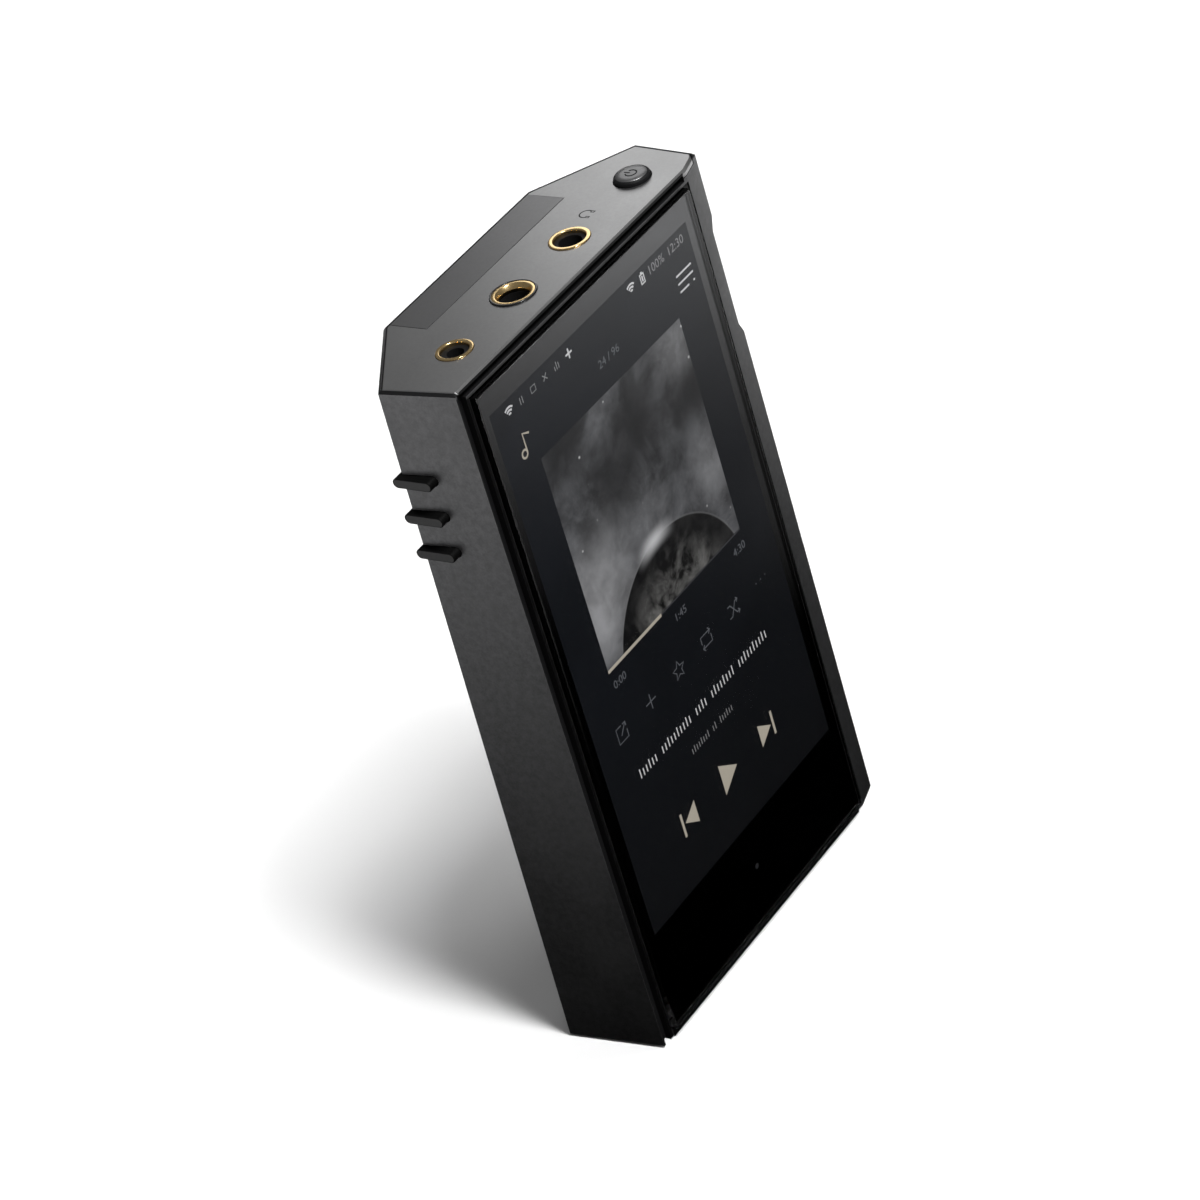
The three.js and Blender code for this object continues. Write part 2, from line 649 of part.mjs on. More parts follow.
function makeJackCollar() {
  const { x, ring } = JACKS.jack_44;
  const inner = ring + COLLAR_GAP;
  const low = SLIP_GAP - PLATE_THICKNESS;
  place('jack_44_collar', turned([
    [inner, low],
    [COLLAR_RADIUS, low],
    [COLLAR_RADIUS, COLLAR_PROUD - COLLAR_CHAMFER],
    [COLLAR_RADIUS - COLLAR_CHAMFER, COLLAR_PROUD],
    [inner, COLLAR_PROUD],
    [inner, low],
  ], x, JACK_Y, BODY_HEIGHT), 'black_gloss');
}

function makePowerKey() {
  const flangeTop = -PLATE_THICKNESS - 0.25;
  const flangeLow = flangeTop - POWER_FLANGE_THICKNESS;
  const dish = POWER_PROUD - POWER_DISH_DEPTH;
  place('power_key', turned([
    [0, -POWER_STEM_DEPTH],
    [POWER_STEM_RADIUS, -POWER_STEM_DEPTH],
    [POWER_STEM_RADIUS, flangeLow],
    [POWER_FLANGE_RADIUS, flangeLow],
    [POWER_FLANGE_RADIUS, flangeTop],
    [POWER_RADIUS, flangeTop],
    [POWER_RADIUS, POWER_PROUD - 0.35],
    [POWER_RADIUS - 0.1, dish],
    [POWER_RADIUS - 0.4, POWER_PROUD],
    [POWER_RIM_RADIUS, POWER_PROUD],
    [POWER_DISH_RADIUS, dish],
    [0, dish],
  ], POWER_X, POWER_Y, BODY_HEIGHT), 'black_matte');
  place('power_switch', toGeometry(joined(
    box(...POWER_SWITCH),
    rodZ(0, 0, POWER_PLUNGER.low, POWER_PLUNGER.high, POWER_PLUNGER.radius),
  )), 'chip', [POWER_X, POWER_Y, POWER_SWITCH_Z]);
  place('power_board', box(...POWER_BOARD), 'board_green');
}

function makeSideKeys() {
  const middle = (KEY_FRONT + KEY_BACK) / 2;
  const length = KEY_BACK - KEY_FRONT;
  for (const [name, height] of Object.entries(KEY_HEIGHTS)) {
    const capX = KEY_OUTER_X + KEY_CROWN;
    const cap = alongX(stadium(middle, height, length, KEY_THICKNESS), capX, KEY_INNER_X);
    const tip = alongX(stadium(middle, height, length - KEY_CROWN * 2, KEY_THICKNESS - KEY_CROWN * 2),
      KEY_OUTER_X, capX + 0.1);
    const key = joined(
      cap,
      tip,
      keyBlock(KEY_NECK, height),
      keyBlock(KEY_FLANGE, height),
      rodX(SWITCH_Y, height, KEY_PIN.x0, KEY_PIN.x1, KEY_PIN.radius),
    );
    place(name, toGeometry(key), 'black_matte');
    const label = name.replace('key_', 'switch_');
    place(label, toGeometry(joined(
      keyBlock(SWITCH_BODY, height),
      rodX(SWITCH_Y, height, SWITCH_DOME.x0, SWITCH_DOME.x1, SWITCH_DOME.radius),
    )), 'chip');
  }
  place('key_board', box(...KEY_BOARD), 'board_green');
  placeRibbon('key_ribbon');
}

function keyBlock({ x0, x1, y0, y1, half }, height) {
  return box(x0, x1, y0, y1, height - half, height + half);
}

function makeVolumeWheel() {
  const shape = new THREE.Shape();
  const steps = WHEEL_TEETH * 2;
  for (let i = 0; i < steps; i += 1) {
    const angle = (i / steps) * Math.PI * 2;
    const radius = i % 2 ? WHEEL_RADIUS : WHEEL_RADIUS - WHEEL_TOOTH;
    const point = [WHEEL_Y + radius * Math.cos(angle), WHEEL_Z + radius * Math.sin(angle)];
    if (i === 0) shape.moveTo(...point);
    else shape.lineTo(...point);
  }
  const knurled = toSolid(alongX(shape, WHEEL_INNER_X, WHEEL_OUTER_X));
  const width = WHEEL_OUTER_X - WHEEL_INNER_X;
  const [roundRadial, roundAxial] = WHEEL_OUTER_ROUND;
  const [dishRadial, dishAxial] = WHEEL_DISH;
  const envelope = turned([
    [0, 0],
    [WHEEL_RADIUS - WHEEL_INNER_ROUND, 0],
    [WHEEL_RADIUS, WHEEL_INNER_ROUND],
    [WHEEL_RADIUS, width - roundAxial],
    [WHEEL_RADIUS - roundRadial, width],
    [WHEEL_RADIUS - WHEEL_RIM_WIDTH, width],
    [WHEEL_RADIUS - dishRadial, width - dishAxial],
    [0, width - dishAxial],
  ], 0, 0, 0).rotateY(Math.PI / 2).translate(WHEEL_INNER_X, WHEEL_Y, WHEEL_Z);
  const boreEnd = WHEEL_OUTER_X - WHEEL_FACE_THICKNESS;
  const wheel = knurled.intersect(toSolid(envelope))
    .subtract(toSolid(rodX(WHEEL_Y, WHEEL_Z, WHEEL_INNER_X - 1, boreEnd, SHAFT_RADIUS + SLIP_GAP)));
  place('volume_wheel', toGeometry(wheel), 'black_gloss');
  place('volume_shaft', rodX(WHEEL_Y, WHEEL_Z, SHAFT_INNER_X, boreEnd - FIT_GAP, SHAFT_RADIUS), 'steel');
  place('wheel_light_ring', ringX(WHEEL_Y, WHEEL_Z, RECESS_X - LIGHT_RING_SEAT + SLIP_GAP, RECESS_X + SLIP_GAP,
    LIGHT_RING_INNER, LIGHT_RING_OUTER), 'light_guide');
  place('shaft_bush', ringX(WHEEL_Y, WHEEL_Z, PAD_INNER_X, RECESS_X, SHAFT_RADIUS + SHAFT_GAP, BUSH_RADIUS),
    'gold');
  place('encoder_body', box(...ENCODER_BODY), 'chip');
  place('encoder_board', box(...ENCODER_BOARD), 'board_green');
}

// Box on the back of a board, from an area [x0, x1, z0, z1] and two depths.
function onBoard([x0, x1, z0, z1], y0, y1) {
  return box(x0, x1, y0, y1, z0, z1);
}

function placeOnBoard(parts, y0) {
  for (const [name, { area, height, material }] of Object.entries(parts)) {
    place(name, onBoard(area, y0, y0 + height), material);
  }
}

function makeBoards() {
  const board = outline(MAIN_BOARD);
  for (const [x, z] of BOSSES) {
    const hole = new THREE.Path();
    hole.absarc(x, z, SCREW_RADIUS + FIT_GAP, 0, Math.PI * 2, true);
    board.holes.push(hole);
  }
  const boardBack = BOARD_Y + BOARD_THICKNESS;
  const audioBack = AUDIO_BOARD_Y + AUDIO_BOARD_THICKNESS;
  const seat = boardBack + FIT_GAP;
  const audioSeat = AUDIO_BOARD_Y - FIT_GAP;
  place('main_board', alongY(board, BOARD_Y, boardBack), 'board_green');
  place('audio_board', onBoard(AUDIO_BOARD, AUDIO_BOARD_Y, audioBack), 'board_green');
  place('board_connector', onBoard(BOARD_CONNECTOR, seat, audioSeat), 'black_matte');
  place('audio_board_post', rodY(BOARD_POST.x, BOARD_POST.z, seat, audioSeat, BOARD_POST.radius), 'steel');
  placeOnBoard(ON_MAIN_BOARD, seat);
  placeOnBoard(ON_AUDIO_BOARD, audioBack + FIT_GAP);
}

function makeBoardScrews() {
  const head = BOARD_Y + BOARD_THICKNESS + 0.02;
  BOSSES.forEach(([x, z], i) => {
    const screw = joined(
      rodY(0, 0, -SCREW_LENGTH, 0.1, SCREW_RADIUS),
      rodY(0, 0, 0, SCREW_HEAD_HEIGHT, SCREW_HEAD_RADIUS),
    );
    place(`board_screw_${i + 1}`, toGeometry(screw), 'steel', [x, head, z]);
  });
}

function makeBattery() {
  const { x0, x1, y0, y1, z0, z1 } = BATTERY;
  place('battery_cell', box(x0, x1, y0, y1, z0, z1), 'pouch');
  const { side, thickness, z0: low, top } = BATTERY_PAD;
  const back = y0 - FIT_GAP;
  place('battery_pad', box(x0 + side, x1 - side, back - thickness, back, low, z1 - top), 'rubber_black');
  placeRibbon('battery_ribbon');
}

function makeBottomPorts() {
  const [tongueX, tongueY] = USB_TONGUE.half;
  const port = alongZ(stadium(USB_X, USB_Y, ...USB_SHELL), USB_SHELL_LOW, USB_SHELL_TOP);
  const mouth = alongZ(stadium(USB_X, USB_Y, ...USB_BORE), -1, USB_BORE_TOP);
  const tongue = box(USB_X - tongueX, USB_X + tongueX, USB_Y - tongueY, USB_Y + tongueY, USB_TONGUE.low,
    USB_TONGUE.high);
  place('usb_port', toGeometry(cutFrom(toSolid(port), mouth).add(toSolid(tongue))), 'steel');
  const socket = toSolid(cardBox(CARD_BODY, FLOOR + 0.15, CARD_TOP));
  place('card_socket', toGeometry(cutFrom(socket, cardBox(CARD_BORE, 0, CARD_BORE_TOP))), 'tin');
}

makeHousing();
makeGrooveLiner();
makeTopPlate();
makeAntenna();
makeBackCover();
makeGlass();
makeGasket();
makeDisplay();
for (const [name, jack] of Object.entries(JACKS)) makeJack(name, jack);
makeJackCollar();
makePowerKey();
makeSideKeys();
makeVolumeWheel();
makeBoards();
makeBoardScrews();
makeBattery();
makeBottomPorts();

model.updateMatrixWorld(true);
const bounds = new THREE.Box3().setFromObject(model);
model.position.set(-(bounds.min.x + bounds.max.x) / 2, -(bounds.min.y + bounds.max.y) / 2, 0);

export default group;
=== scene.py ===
"""Looks, stage and view of a hand-held digital audio player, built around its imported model.

Metres throughout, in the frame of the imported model: the display faces -Y and the player stands on
Z = 0. Sizes that are easier to read in millimetres are written as a number times MM.
"""

import json
import math

import bmesh
import bpy
from bpy.props import FloatProperty, FloatVectorProperty, IntProperty, PointerProperty
from mathutils import Matrix, Vector


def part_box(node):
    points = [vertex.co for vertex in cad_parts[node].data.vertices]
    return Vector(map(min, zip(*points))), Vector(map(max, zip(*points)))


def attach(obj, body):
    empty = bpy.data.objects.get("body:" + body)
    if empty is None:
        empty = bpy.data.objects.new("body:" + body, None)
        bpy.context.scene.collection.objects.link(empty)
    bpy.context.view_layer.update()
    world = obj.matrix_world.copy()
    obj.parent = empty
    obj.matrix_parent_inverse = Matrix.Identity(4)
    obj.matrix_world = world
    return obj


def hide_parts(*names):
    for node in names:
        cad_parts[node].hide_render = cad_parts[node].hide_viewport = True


bl_info = {
    "name": "Digital Audio Player",
    "version": (1, 0, 0),
    "blender": (4, 5, 0),
    "location": "3D View > Sidebar > Player",
    "description": "Finishes, fine pieces, studio stage and view for a packed digital audio player",
    "category": "Object",
}

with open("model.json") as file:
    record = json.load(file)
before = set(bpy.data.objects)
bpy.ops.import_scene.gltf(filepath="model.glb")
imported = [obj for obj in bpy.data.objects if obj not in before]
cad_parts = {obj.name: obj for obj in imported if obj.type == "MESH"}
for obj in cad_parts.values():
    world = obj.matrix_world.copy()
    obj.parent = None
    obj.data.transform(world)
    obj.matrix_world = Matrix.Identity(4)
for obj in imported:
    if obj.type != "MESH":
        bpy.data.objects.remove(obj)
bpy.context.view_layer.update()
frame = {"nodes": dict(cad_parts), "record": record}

MM = 0.001
ONTO_FRONT = Matrix.Rotation(math.pi / 2, 4, "X")
ONTO_RIGHT = Matrix.Rotation(math.pi / 2, 4, "Y")
SLOT_OF_NODE = {part["node"]: part["material_slot"] for part in frame["record"]["subparts"]}
GLASS_LOW, GLASS_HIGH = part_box("cover_glass")
PANEL_LOW, PANEL_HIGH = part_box("display_panel")
PLATE_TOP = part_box("top_plate")[1].z
SIDE_KEY_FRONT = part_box("housing")[0].y + 7.4 * MM
PANEL_BORDER = 0.7 * MM
SHEET = 0.03 * MM
GROOVE_WIDTH = 1.75 * MM
GROOVE_HEIGHT = 1.2 * MM
RIM_WIDTH = 0.4 * MM
SCREEN_CORNER = Vector((PANEL_LOW.x + PANEL_BORDER, GLASS_HIGH.y, PANEL_LOW.z + PANEL_BORDER))
SCREEN_WIDTH = PANEL_HIGH.x - PANEL_LOW.x - 2 * PANEL_BORDER
SCREEN_HEIGHT = PANEL_HIGH.z - PANEL_LOW.z - 2 * PANEL_BORDER


# Settings

class PlayerSizes(bpy.types.PropertyGroup):
    """Sizes of the fine pieces"""

    housing_edge: FloatProperty(
        name="Housing edge", description="Rounding of the milled edges",
        default=0.12 * MM, precision=5, unit="LENGTH")
    plate_edge: FloatProperty(
        name="Plate edge", description="Rounding of the top plate and the panels",
        default=0.05 * MM, precision=5, unit="LENGTH")
    glass_edge: FloatProperty(
        name="Glass edge", description="Ground edge round the front of the cover glass",
        default=0.25 * MM, precision=5, unit="LENGTH")
    key_edge: FloatProperty(
        name="Key edge", description="Rounding of the outer edge of the side keys",
        default=0.14 * MM, precision=5, unit="LENGTH")
    wheel_teeth: IntProperty(
        name="Wheel teeth", description="Grip teeth round the volume wheel", default=72)
    icon_line: FloatProperty(
        name="Icon line", description="Width of the lines of the display icons",
        default=0.22 * MM, precision=5, unit="LENGTH")


class PlayerColours(bpy.types.PropertyGroup):
    """Colours of the finishes"""

    housing: FloatVectorProperty(
        name="Housing", description="Blasted and anodised aluminium", subtype="COLOR",
        default=(0.088, 0.088, 0.09))
    plate: FloatVectorProperty(
        name="Top plate", description="Satin anodised aluminium", subtype="COLOR",
        default=(0.35, 0.35, 0.352))
    gold: FloatVectorProperty(
        name="Jack rings", description="Gold plating", subtype="COLOR",
        default=(0.80, 0.58, 0.28))
    border: FloatVectorProperty(
        name="Glass border", description="Print behind the cover glass", subtype="COLOR",
        default=(0.20, 0.20, 0.205))
    icons: FloatVectorProperty(
        name="Icons", description="Lit icons of the display", subtype="COLOR",
        default=(0.44, 0.40, 0.33))


class StudioSettings(bpy.types.PropertyGroup):
    """View and light"""

    lens: FloatProperty(
        name="Lens", description="Focal length", default=129.69, unit="CAMERA")
    place: FloatVectorProperty(
        name="Place", description="Where the camera stands", subtype="TRANSLATION", unit="LENGTH",
        default=(-0.405205, -0.36781, 0.39829))
    heading: FloatProperty(
        name="Heading", description="Turn of the view from +Y towards +X", subtype="ANGLE",
        default=math.radians(47.431))
    pitch: FloatProperty(
        name="Pitch", description="Tilt of the view below the horizon", subtype="ANGLE",
        default=math.radians(31.737))
    roll: FloatProperty(
        name="Roll", description="Roll of the camera about its view", subtype="ANGLE",
        default=math.radians(-17.299))
    key_light: FloatProperty(
        name="Key light", description="Strength of the tall key light", default=3.45)
    side_light: FloatProperty(
        name="Side light", description="Strength of the weak light at the right", default=1.15)
    plate_light: FloatProperty(
        name="Plate light", description="Power of the soft box that shines on the top plate",
        default=0.034, unit="POWER")


# Shader nodes

def set_inputs(tree, node, **values):
    """Sets inputs to numbers, colours or sockets; _ stands for a space in an input's name."""
    for key, value in values.items():
        connect(tree, node.inputs[key.replace("_", " ")], value)
    return node


def add_node(tree, kind, settings=None, **values):
    made = tree.nodes.new(kind)
    for key, value in (settings or {}).items():
        setattr(made, key, value)
    return set_inputs(tree, made, **values)


def connect(tree, socket, value):
    if isinstance(value, bpy.types.NodeSocket):
        tree.links.new(value, socket)
    else:
        socket.default_value = value


def maths(tree, operation, a, b=0.0):
    made = tree.nodes.new("ShaderNodeMath")
    made.operation = operation
    connect(tree, made.inputs[0], a)
    connect(tree, made.inputs[1], b)
    return made.outputs[0]


def mix_colours(tree, factor, a, b):
    made = tree.nodes.new("ShaderNodeMix")
    made.data_type = "RGBA"
    factor_input, a_input, b_input = made.inputs[0], made.inputs[6], made.inputs[7]
    connect(tree, factor_input, factor)
    connect(tree, a_input, a)
    connect(tree, b_input, b)
    return made.outputs[2]


def vector_maths(tree, operation, a, b=(0, 0, 0)):
    made = tree.nodes.new("ShaderNodeVectorMath")
    made.operation = operation
    connect(tree, made.inputs[0], a)
    connect(tree, made.inputs[1], b)
    return made.outputs["Value"]


def product(tree, first, *others):
    for other in others:
        first = maths(tree, "MULTIPLY", first, other)
    return first


def spread_value(tree, value, low, high, to_low=0.0, to_high=1.0, smooth=False):
    made = add_node(
        tree, "ShaderNodeMapRange",
        {"interpolation_type": "SMOOTHSTEP" if smooth else "LINEAR"},
        Value=value, From_Min=low, From_Max=high, To_Min=to_low, To_Max=to_high)
    return made.outputs["Result"]


def noise_at(tree, place, scale, **values):
    return add_node(tree, "ShaderNodeTexNoise", Vector=place, Scale=scale, **values).outputs["Fac"]


def parts_of(tree, vector):
    return add_node(tree, "ShaderNodeSeparateXYZ", Vector=vector).outputs


def pick_by_eye(tree, seen, unseen, output):
    """One shader for the eye and another for reflections and bounce light."""
    path = tree.nodes.new("ShaderNodeLightPath")
    pick = tree.nodes.new("ShaderNodeMixShader")
    tree.links.new(path.outputs["Is Camera Ray"], pick.inputs[0])
    tree.links.new(unseen.outputs[0], pick.inputs[1])
    tree.links.new(seen.outputs[0], pick.inputs[2])
    tree.links.new(pick.outputs[0], tree.nodes.new(output).inputs["Surface"])


def opaque(colour, shade=1.0):
    return (*(min(1.0, part * shade) for part in colour), 1.0)


def start_group(name, measure, default, outputs):
    """A node group that reads a vector and one measure, and puts out numbers."""
    group = bpy.data.node_groups.new(name, "ShaderNodeTree")
    sockets = group.interface
    sockets.new_socket(name="Vector", in_out="INPUT", socket_type="NodeSocketVector")
    given = sockets.new_socket(name=measure, in_out="INPUT", socket_type="NodeSocketFloat")
    given.default_value = default
    for label in outputs:
        sockets.new_socket(name=label, in_out="OUTPUT", socket_type="NodeSocketFloat")
    start, result = group.nodes.new("NodeGroupInput"), group.nodes.new("NodeGroupOutput")
    return group, start.outputs["Vector"], start.outputs[measure], result


def grain_group():
    """Fine blasted grain: a speckle for colour and a height for the relief."""
    group, at, scale, result = start_group("Fine grain", "Scale", 4000.0, ["Speckle", "Height"])
    fine = noise_at(group, at, scale, Detail=2.0, Roughness=0.6)
    coarse = noise_at(group, at, maths(group, "MULTIPLY", scale, 0.31), Detail=1.0)
    speckle = spread_value(group, maths(group, "ADD", fine, coarse), 0.72, 1.28)
    set_inputs(group, result, Speckle=speckle, Height=fine)
    return group


def handling_group():
    """Slow change over the surface, as handling and uneven plating leave it."""
    group, at, scale, result = start_group("Handling", "Scale", 60.0, ["Mask"])
    slow = noise_at(group, at, scale, Detail=4.0, Roughness=0.55, Distortion=0.4)
    set_inputs(group, result, Mask=spread_value(group, slow, 0.35, 0.65))
    return group


def edge_wear_group():
    """Worn edges: where the rounded normal leaves the flat one, broken up by a fine noise."""
    group, at, radius, result = start_group("Edge wear", "Radius", 0.15 * MM, ["Mask"])
    rounded = add_node(group, "ShaderNodeBevel", {"samples": 4}, Radius=radius)
    flat = group.nodes.new("ShaderNodeNewGeometry")
    facing = vector_maths(group, "DOT_PRODUCT", rounded.outputs["Normal"], flat.outputs["Normal"])
    edge = spread_value(group, maths(group, "SUBTRACT", 1.0, facing), 0.01, 0.12)
    broken = spread_value(group, noise_at(group, at, 900.0), 0.3, 0.6, 0.55, 1.0)
    set_inputs(group, result, Mask=product(group, edge, broken))
    return group


def turned_lines_group():
    """Rings left by turning, about the X axis of the given vector."""
    group, at, pitch, result = start_group("Turned lines", "Pitch", 0.12 * MM, ["Height"])
    parts = parts_of(group, at)
    flat = add_node(group, "ShaderNodeCombineXYZ", X=parts["Y"], Y=parts["Z"])
    radius = vector_maths(group, "LENGTH", flat.outputs["Vector"])
    lines = add_node(group, "ShaderNodeTexNoise", {"noise_dimensions": "1D"}, Scale=1.0, Detail=2.0,
                     W=maths(group, "DIVIDE", radius, pitch))
    set_inputs(group, result, Height=lines.outputs["Fac"])
    return group


def shared_group(name):
    makers = {
        "Fine grain": grain_group,
        "Handling": handling_group,
        "Edge wear": edge_wear_group,
        "Turned lines": turned_lines_group,
    }
    return bpy.data.node_groups.get(name) or makers[name]()


def use_group(tree, name, **values):
    """Outputs of a shared group placed in a material with its own values."""
    made = tree.nodes.new("ShaderNodeGroup")
    made.node_tree = shared_group(name)
    return set_inputs(tree, made, **values).outputs


def handling(tree, coords, **values):
    return use_group(tree, "Handling", Vector=coords, **values)["Mask"]


# Finishes

def start_material(name):
    material = bpy.data.materials.new(f"{name}_finish")
    material.use_nodes = True
    tree = material.node_tree
    shader = tree.nodes["Principled BSDF"]
    coords = tree.nodes.new("ShaderNodeTexCoord").outputs["Object"]
    return material, tree, shader, coords


def add_relief(tree, shader, height, depth):
    bump = add_node(tree, "ShaderNodeBump", Height=height, Distance=depth, Strength=1.0)
    set_inputs(tree, shader, Normal=bump.outputs["Normal"])


def add_gloss(tree, shader, mask, low, high):
    """Roughness that changes slowly over the surface."""
    set_inputs(tree, shader, Roughness=spread_value(tree, mask, 0.0, 1.0, low, high))


def add_glow(tree, shader, colour, roughness):
    """Light of the display: the colour is given off, and hardly anything is reflected."""
    set_inputs(tree, shader, Emission_Color=colour, Emission_Strength=1.0, Roughness=roughness,
               Base_Color=(0.005, 0.005, 0.005, 1), Specular_IOR_Level=0.0)


def surface(name, colour, roughness, metallic=0.0, grain=0.15 * MM, relief=0.0, tone=0.12,
            wear=0.0, spread=0.05, coat=0.0, specular=0.5):
    """A solid finish with grain, uneven gloss and worn edges."""
    material, tree, shader, coords = start_material(name)
    fine = use_group(tree, "Fine grain", Vector=coords, Scale=0.5 / grain)
    slow = handling(tree, coords)
    base = mix_colours(tree, fine["Speckle"], opaque(colour, 1 - tone), opaque(colour, 1 + tone))
    base = mix_colours(tree, product(tree, slow, 0.5), base, opaque(colour, 1 + tone / 2))
    if wear:
        worn = use_group(tree, "Edge wear", Vector=coords)["Mask"]
        base = mix_colours(tree, worn, base, opaque(colour, 1 + wear))
    add_gloss(tree, shader, slow, roughness - spread, roughness + spread)
    set_inputs(tree, shader, Base_Color=base, Metallic=metallic, Coat_Weight=coat,
               Coat_Roughness=0.05, Specular_IOR_Level=specular)
    if relief:
        add_relief(tree, shader, fine["Height"], relief)
    return material


def turned_metal(name, colour, roughness, centre):
    """Metal turned about an axis along X through centre."""
    material, tree, shader, coords = start_material(name)
    centred = add_node(tree, "ShaderNodeMapping", Vector=coords, Location=-Vector(centre))
    rings = use_group(tree, "Turned lines", Vector=centred.outputs["Vector"])["Height"]
    base = mix_colours(tree, rings, opaque(colour, 0.8), opaque(colour, 1.25))
    add_gloss(tree, shader, handling(tree, coords), roughness - 0.05, roughness + 0.05)
    set_inputs(tree, shader, Base_Color=base, Metallic=1.0)
    add_relief(tree, shader, rings, 0.004 * MM)
    return material


def circuit_board(name, colour):
    """Solder mask over a net of copper traces."""
    material, tree, shader, coords = start_material(name)
    net = add_node(tree, "ShaderNodeTexVoronoi", {"distance": "CHEBYCHEV"}, Vector=coords,
                   Scale=420.0)
    trace = spread_value(tree, net.outputs["Distance"], 0.42, 0.46)
    base = mix_colours(tree, trace, opaque(colour), opaque(colour, 2.2))
    set_inputs(tree, shader, Base_Color=base)
    add_gloss(tree, shader, handling(tree, coords), 0.3, 0.45)
    add_relief(tree, shader, trace, 0.02 * MM)
    return material


def clear_glass(name):
    """Polished cover glass with faint finger marks."""
    material, tree, shader, coords = start_material(name)
    gloss = spread_value(tree, handling(tree, coords, Scale=90.0), 0.3, 1.0, 0.0, 0.02)
    set_inputs(tree, shader, Base_Color=(0.97, 0.975, 0.98, 1), Roughness=gloss, IOR=1.5,
               Transmission_Weight=1.0)
    return material


def lit(name, colour, shade=1.0):
    """Lit part of the display, slightly uneven as its backlight is."""
    material, tree, shader, coords = start_material(name)
    slow = handling(tree, coords, Scale=45.0)
    glow = mix_colours(tree, slow, opaque(colour, 0.92 * shade), opaque(colour, shade))
    add_glow(tree, shader, glow, 0.5)
    return material


def screen_ground(name):
    """Dark page of the display: lighter and bluer at the top, nearly black at the foot."""
    material, tree, shader, coords = start_material(name)
    foot = SCREEN_CORNER.z
    up = spread_value(tree, parts_of(tree, coords)["Z"], foot, foot + SCREEN_HEIGHT)
    page = mix_colours(tree, up, (0.0045, 0.0048, 0.0055, 1), (0.0085, 0.0100, 0.0135, 1))
    swirl = noise_at(tree, coords, 28.0, Detail=2.0, Distortion=1.2)
    faint = spread_value(tree, swirl, 0.4, 0.62, 0.0, 0.35, smooth=True)
    page = mix_colours(tree, faint, page, (0.0035, 0.004, 0.0048, 1))
    add_glow(tree, shader, page, 0.35)
    return material


# Cover picture: places are shares of its side from its centre

BALL_CENTRE = Vector((0.035, 0.0, -0.654))
BALL_RADIUS = 0.4515
BALL_SHINE = BALL_CENTRE + BALL_RADIUS * Vector((-0.12, 0, 0.99))
SKY_DARK = (0.012, 0.012, 0.013, 1)
SKY_DIM = (0.028, 0.028, 0.030, 1)
SKY_PALE = (0.125, 0.127, 0.134, 1)
SKY_GLOW = (0.40, 0.40, 0.41, 1)
STAR_WHITE = (0.6, 0.6, 0.6, 1)
SHINE_WHITE = (0.6, 0.6, 0.61, 1)
ROCK_DARK = (0.006, 0.006, 0.006, 1)
ROCK_PALE = (0.16, 0.157, 0.152, 1)
ROCK_DUSK = (0.0055, 0.0055, 0.006, 1)
ART_SHADES = (
    (Vector((0.1, 0.0, 0.3)), 0.26, 0.9),
    (Vector((-0.15, 0.0, 0.16)), 0.3, 0.9),
    (Vector((0.46, 0.0, 0.2)), 0.24, 0.95),
    (Vector((0.25, 0.0, 0.05)), 0.26, 0.5),
    (Vector((-0.38, 0.0, 0.42)), 0.26, 0.6),
)
ART_GLOWS = (
    (Vector((-0.44, 0.0, -0.22)), 0.36, 0.85),
    (Vector((-0.28, 0.0, -0.02)), 0.3, 0.16),
    (Vector((0.45, 0.0, -0.15)), 0.24, 0.3),
    (Vector((0.42, 0.0, 0.42)), 0.2, 0.4),
    (Vector((0.0, 0.0, -0.12)), 0.26, 0.12),
)


def near_point(tree, at, place, size):
    """1 at a point of the picture, falling to 0 at a distance of size."""
    return spread_value(tree, vector_maths(tree, "DISTANCE", at, place), size, 0.0, smooth=True)


def night_sky(tree, at, flat, up):
    """Clouds with darker and brighter places, and a few stars."""
    clouds = noise_at(tree, at, 4.2, Detail=10.0, Roughness=0.64, Distortion=0.25)
    wisps = spread_value(tree, clouds, 0.38, 0.66)
    patches = noise_at(tree, at, 2.6, Detail=4.0, Distortion=0.5)
    dark = spread_value(tree, patches, 0.44, 0.6, smooth=True)
    band = spread_value(tree, up, -0.12, 0.12, 0.15, 1.0, smooth=True)
    sky = mix_colours(tree, wisps, SKY_DIM, SKY_PALE)
    sky = mix_colours(tree, product(tree, dark, band, 0.8), sky, SKY_DARK)
    for place, size, amount in ART_SHADES:
        shade = product(tree, near_point(tree, flat, place, size), amount)
        sky = mix_colours(tree, shade, sky, SKY_DARK)
    thin = spread_value(tree, wisps, 0.0, 1.0, 0.55, 1.0)
    for place, size, amount in ART_GLOWS:
        glow = product(tree, near_point(tree, flat, place, size), amount, thin)
        sky = mix_colours(tree, glow, sky, SKY_GLOW)
    field = add_node(tree, "ShaderNodeTexVoronoi", Vector=flat, Scale=14.0)
    dot = spread_value(tree, field.outputs["Distance"], 0.11, 0.04)
    tint = add_node(tree, "ShaderNodeSeparateColor", Color=field.outputs["Color"])
    chosen = spread_value(tree, tint.outputs["Red"], 0.7, 0.95)
    return mix_colours(tree, product(tree, dot, chosen), sky, STAR_WHITE)


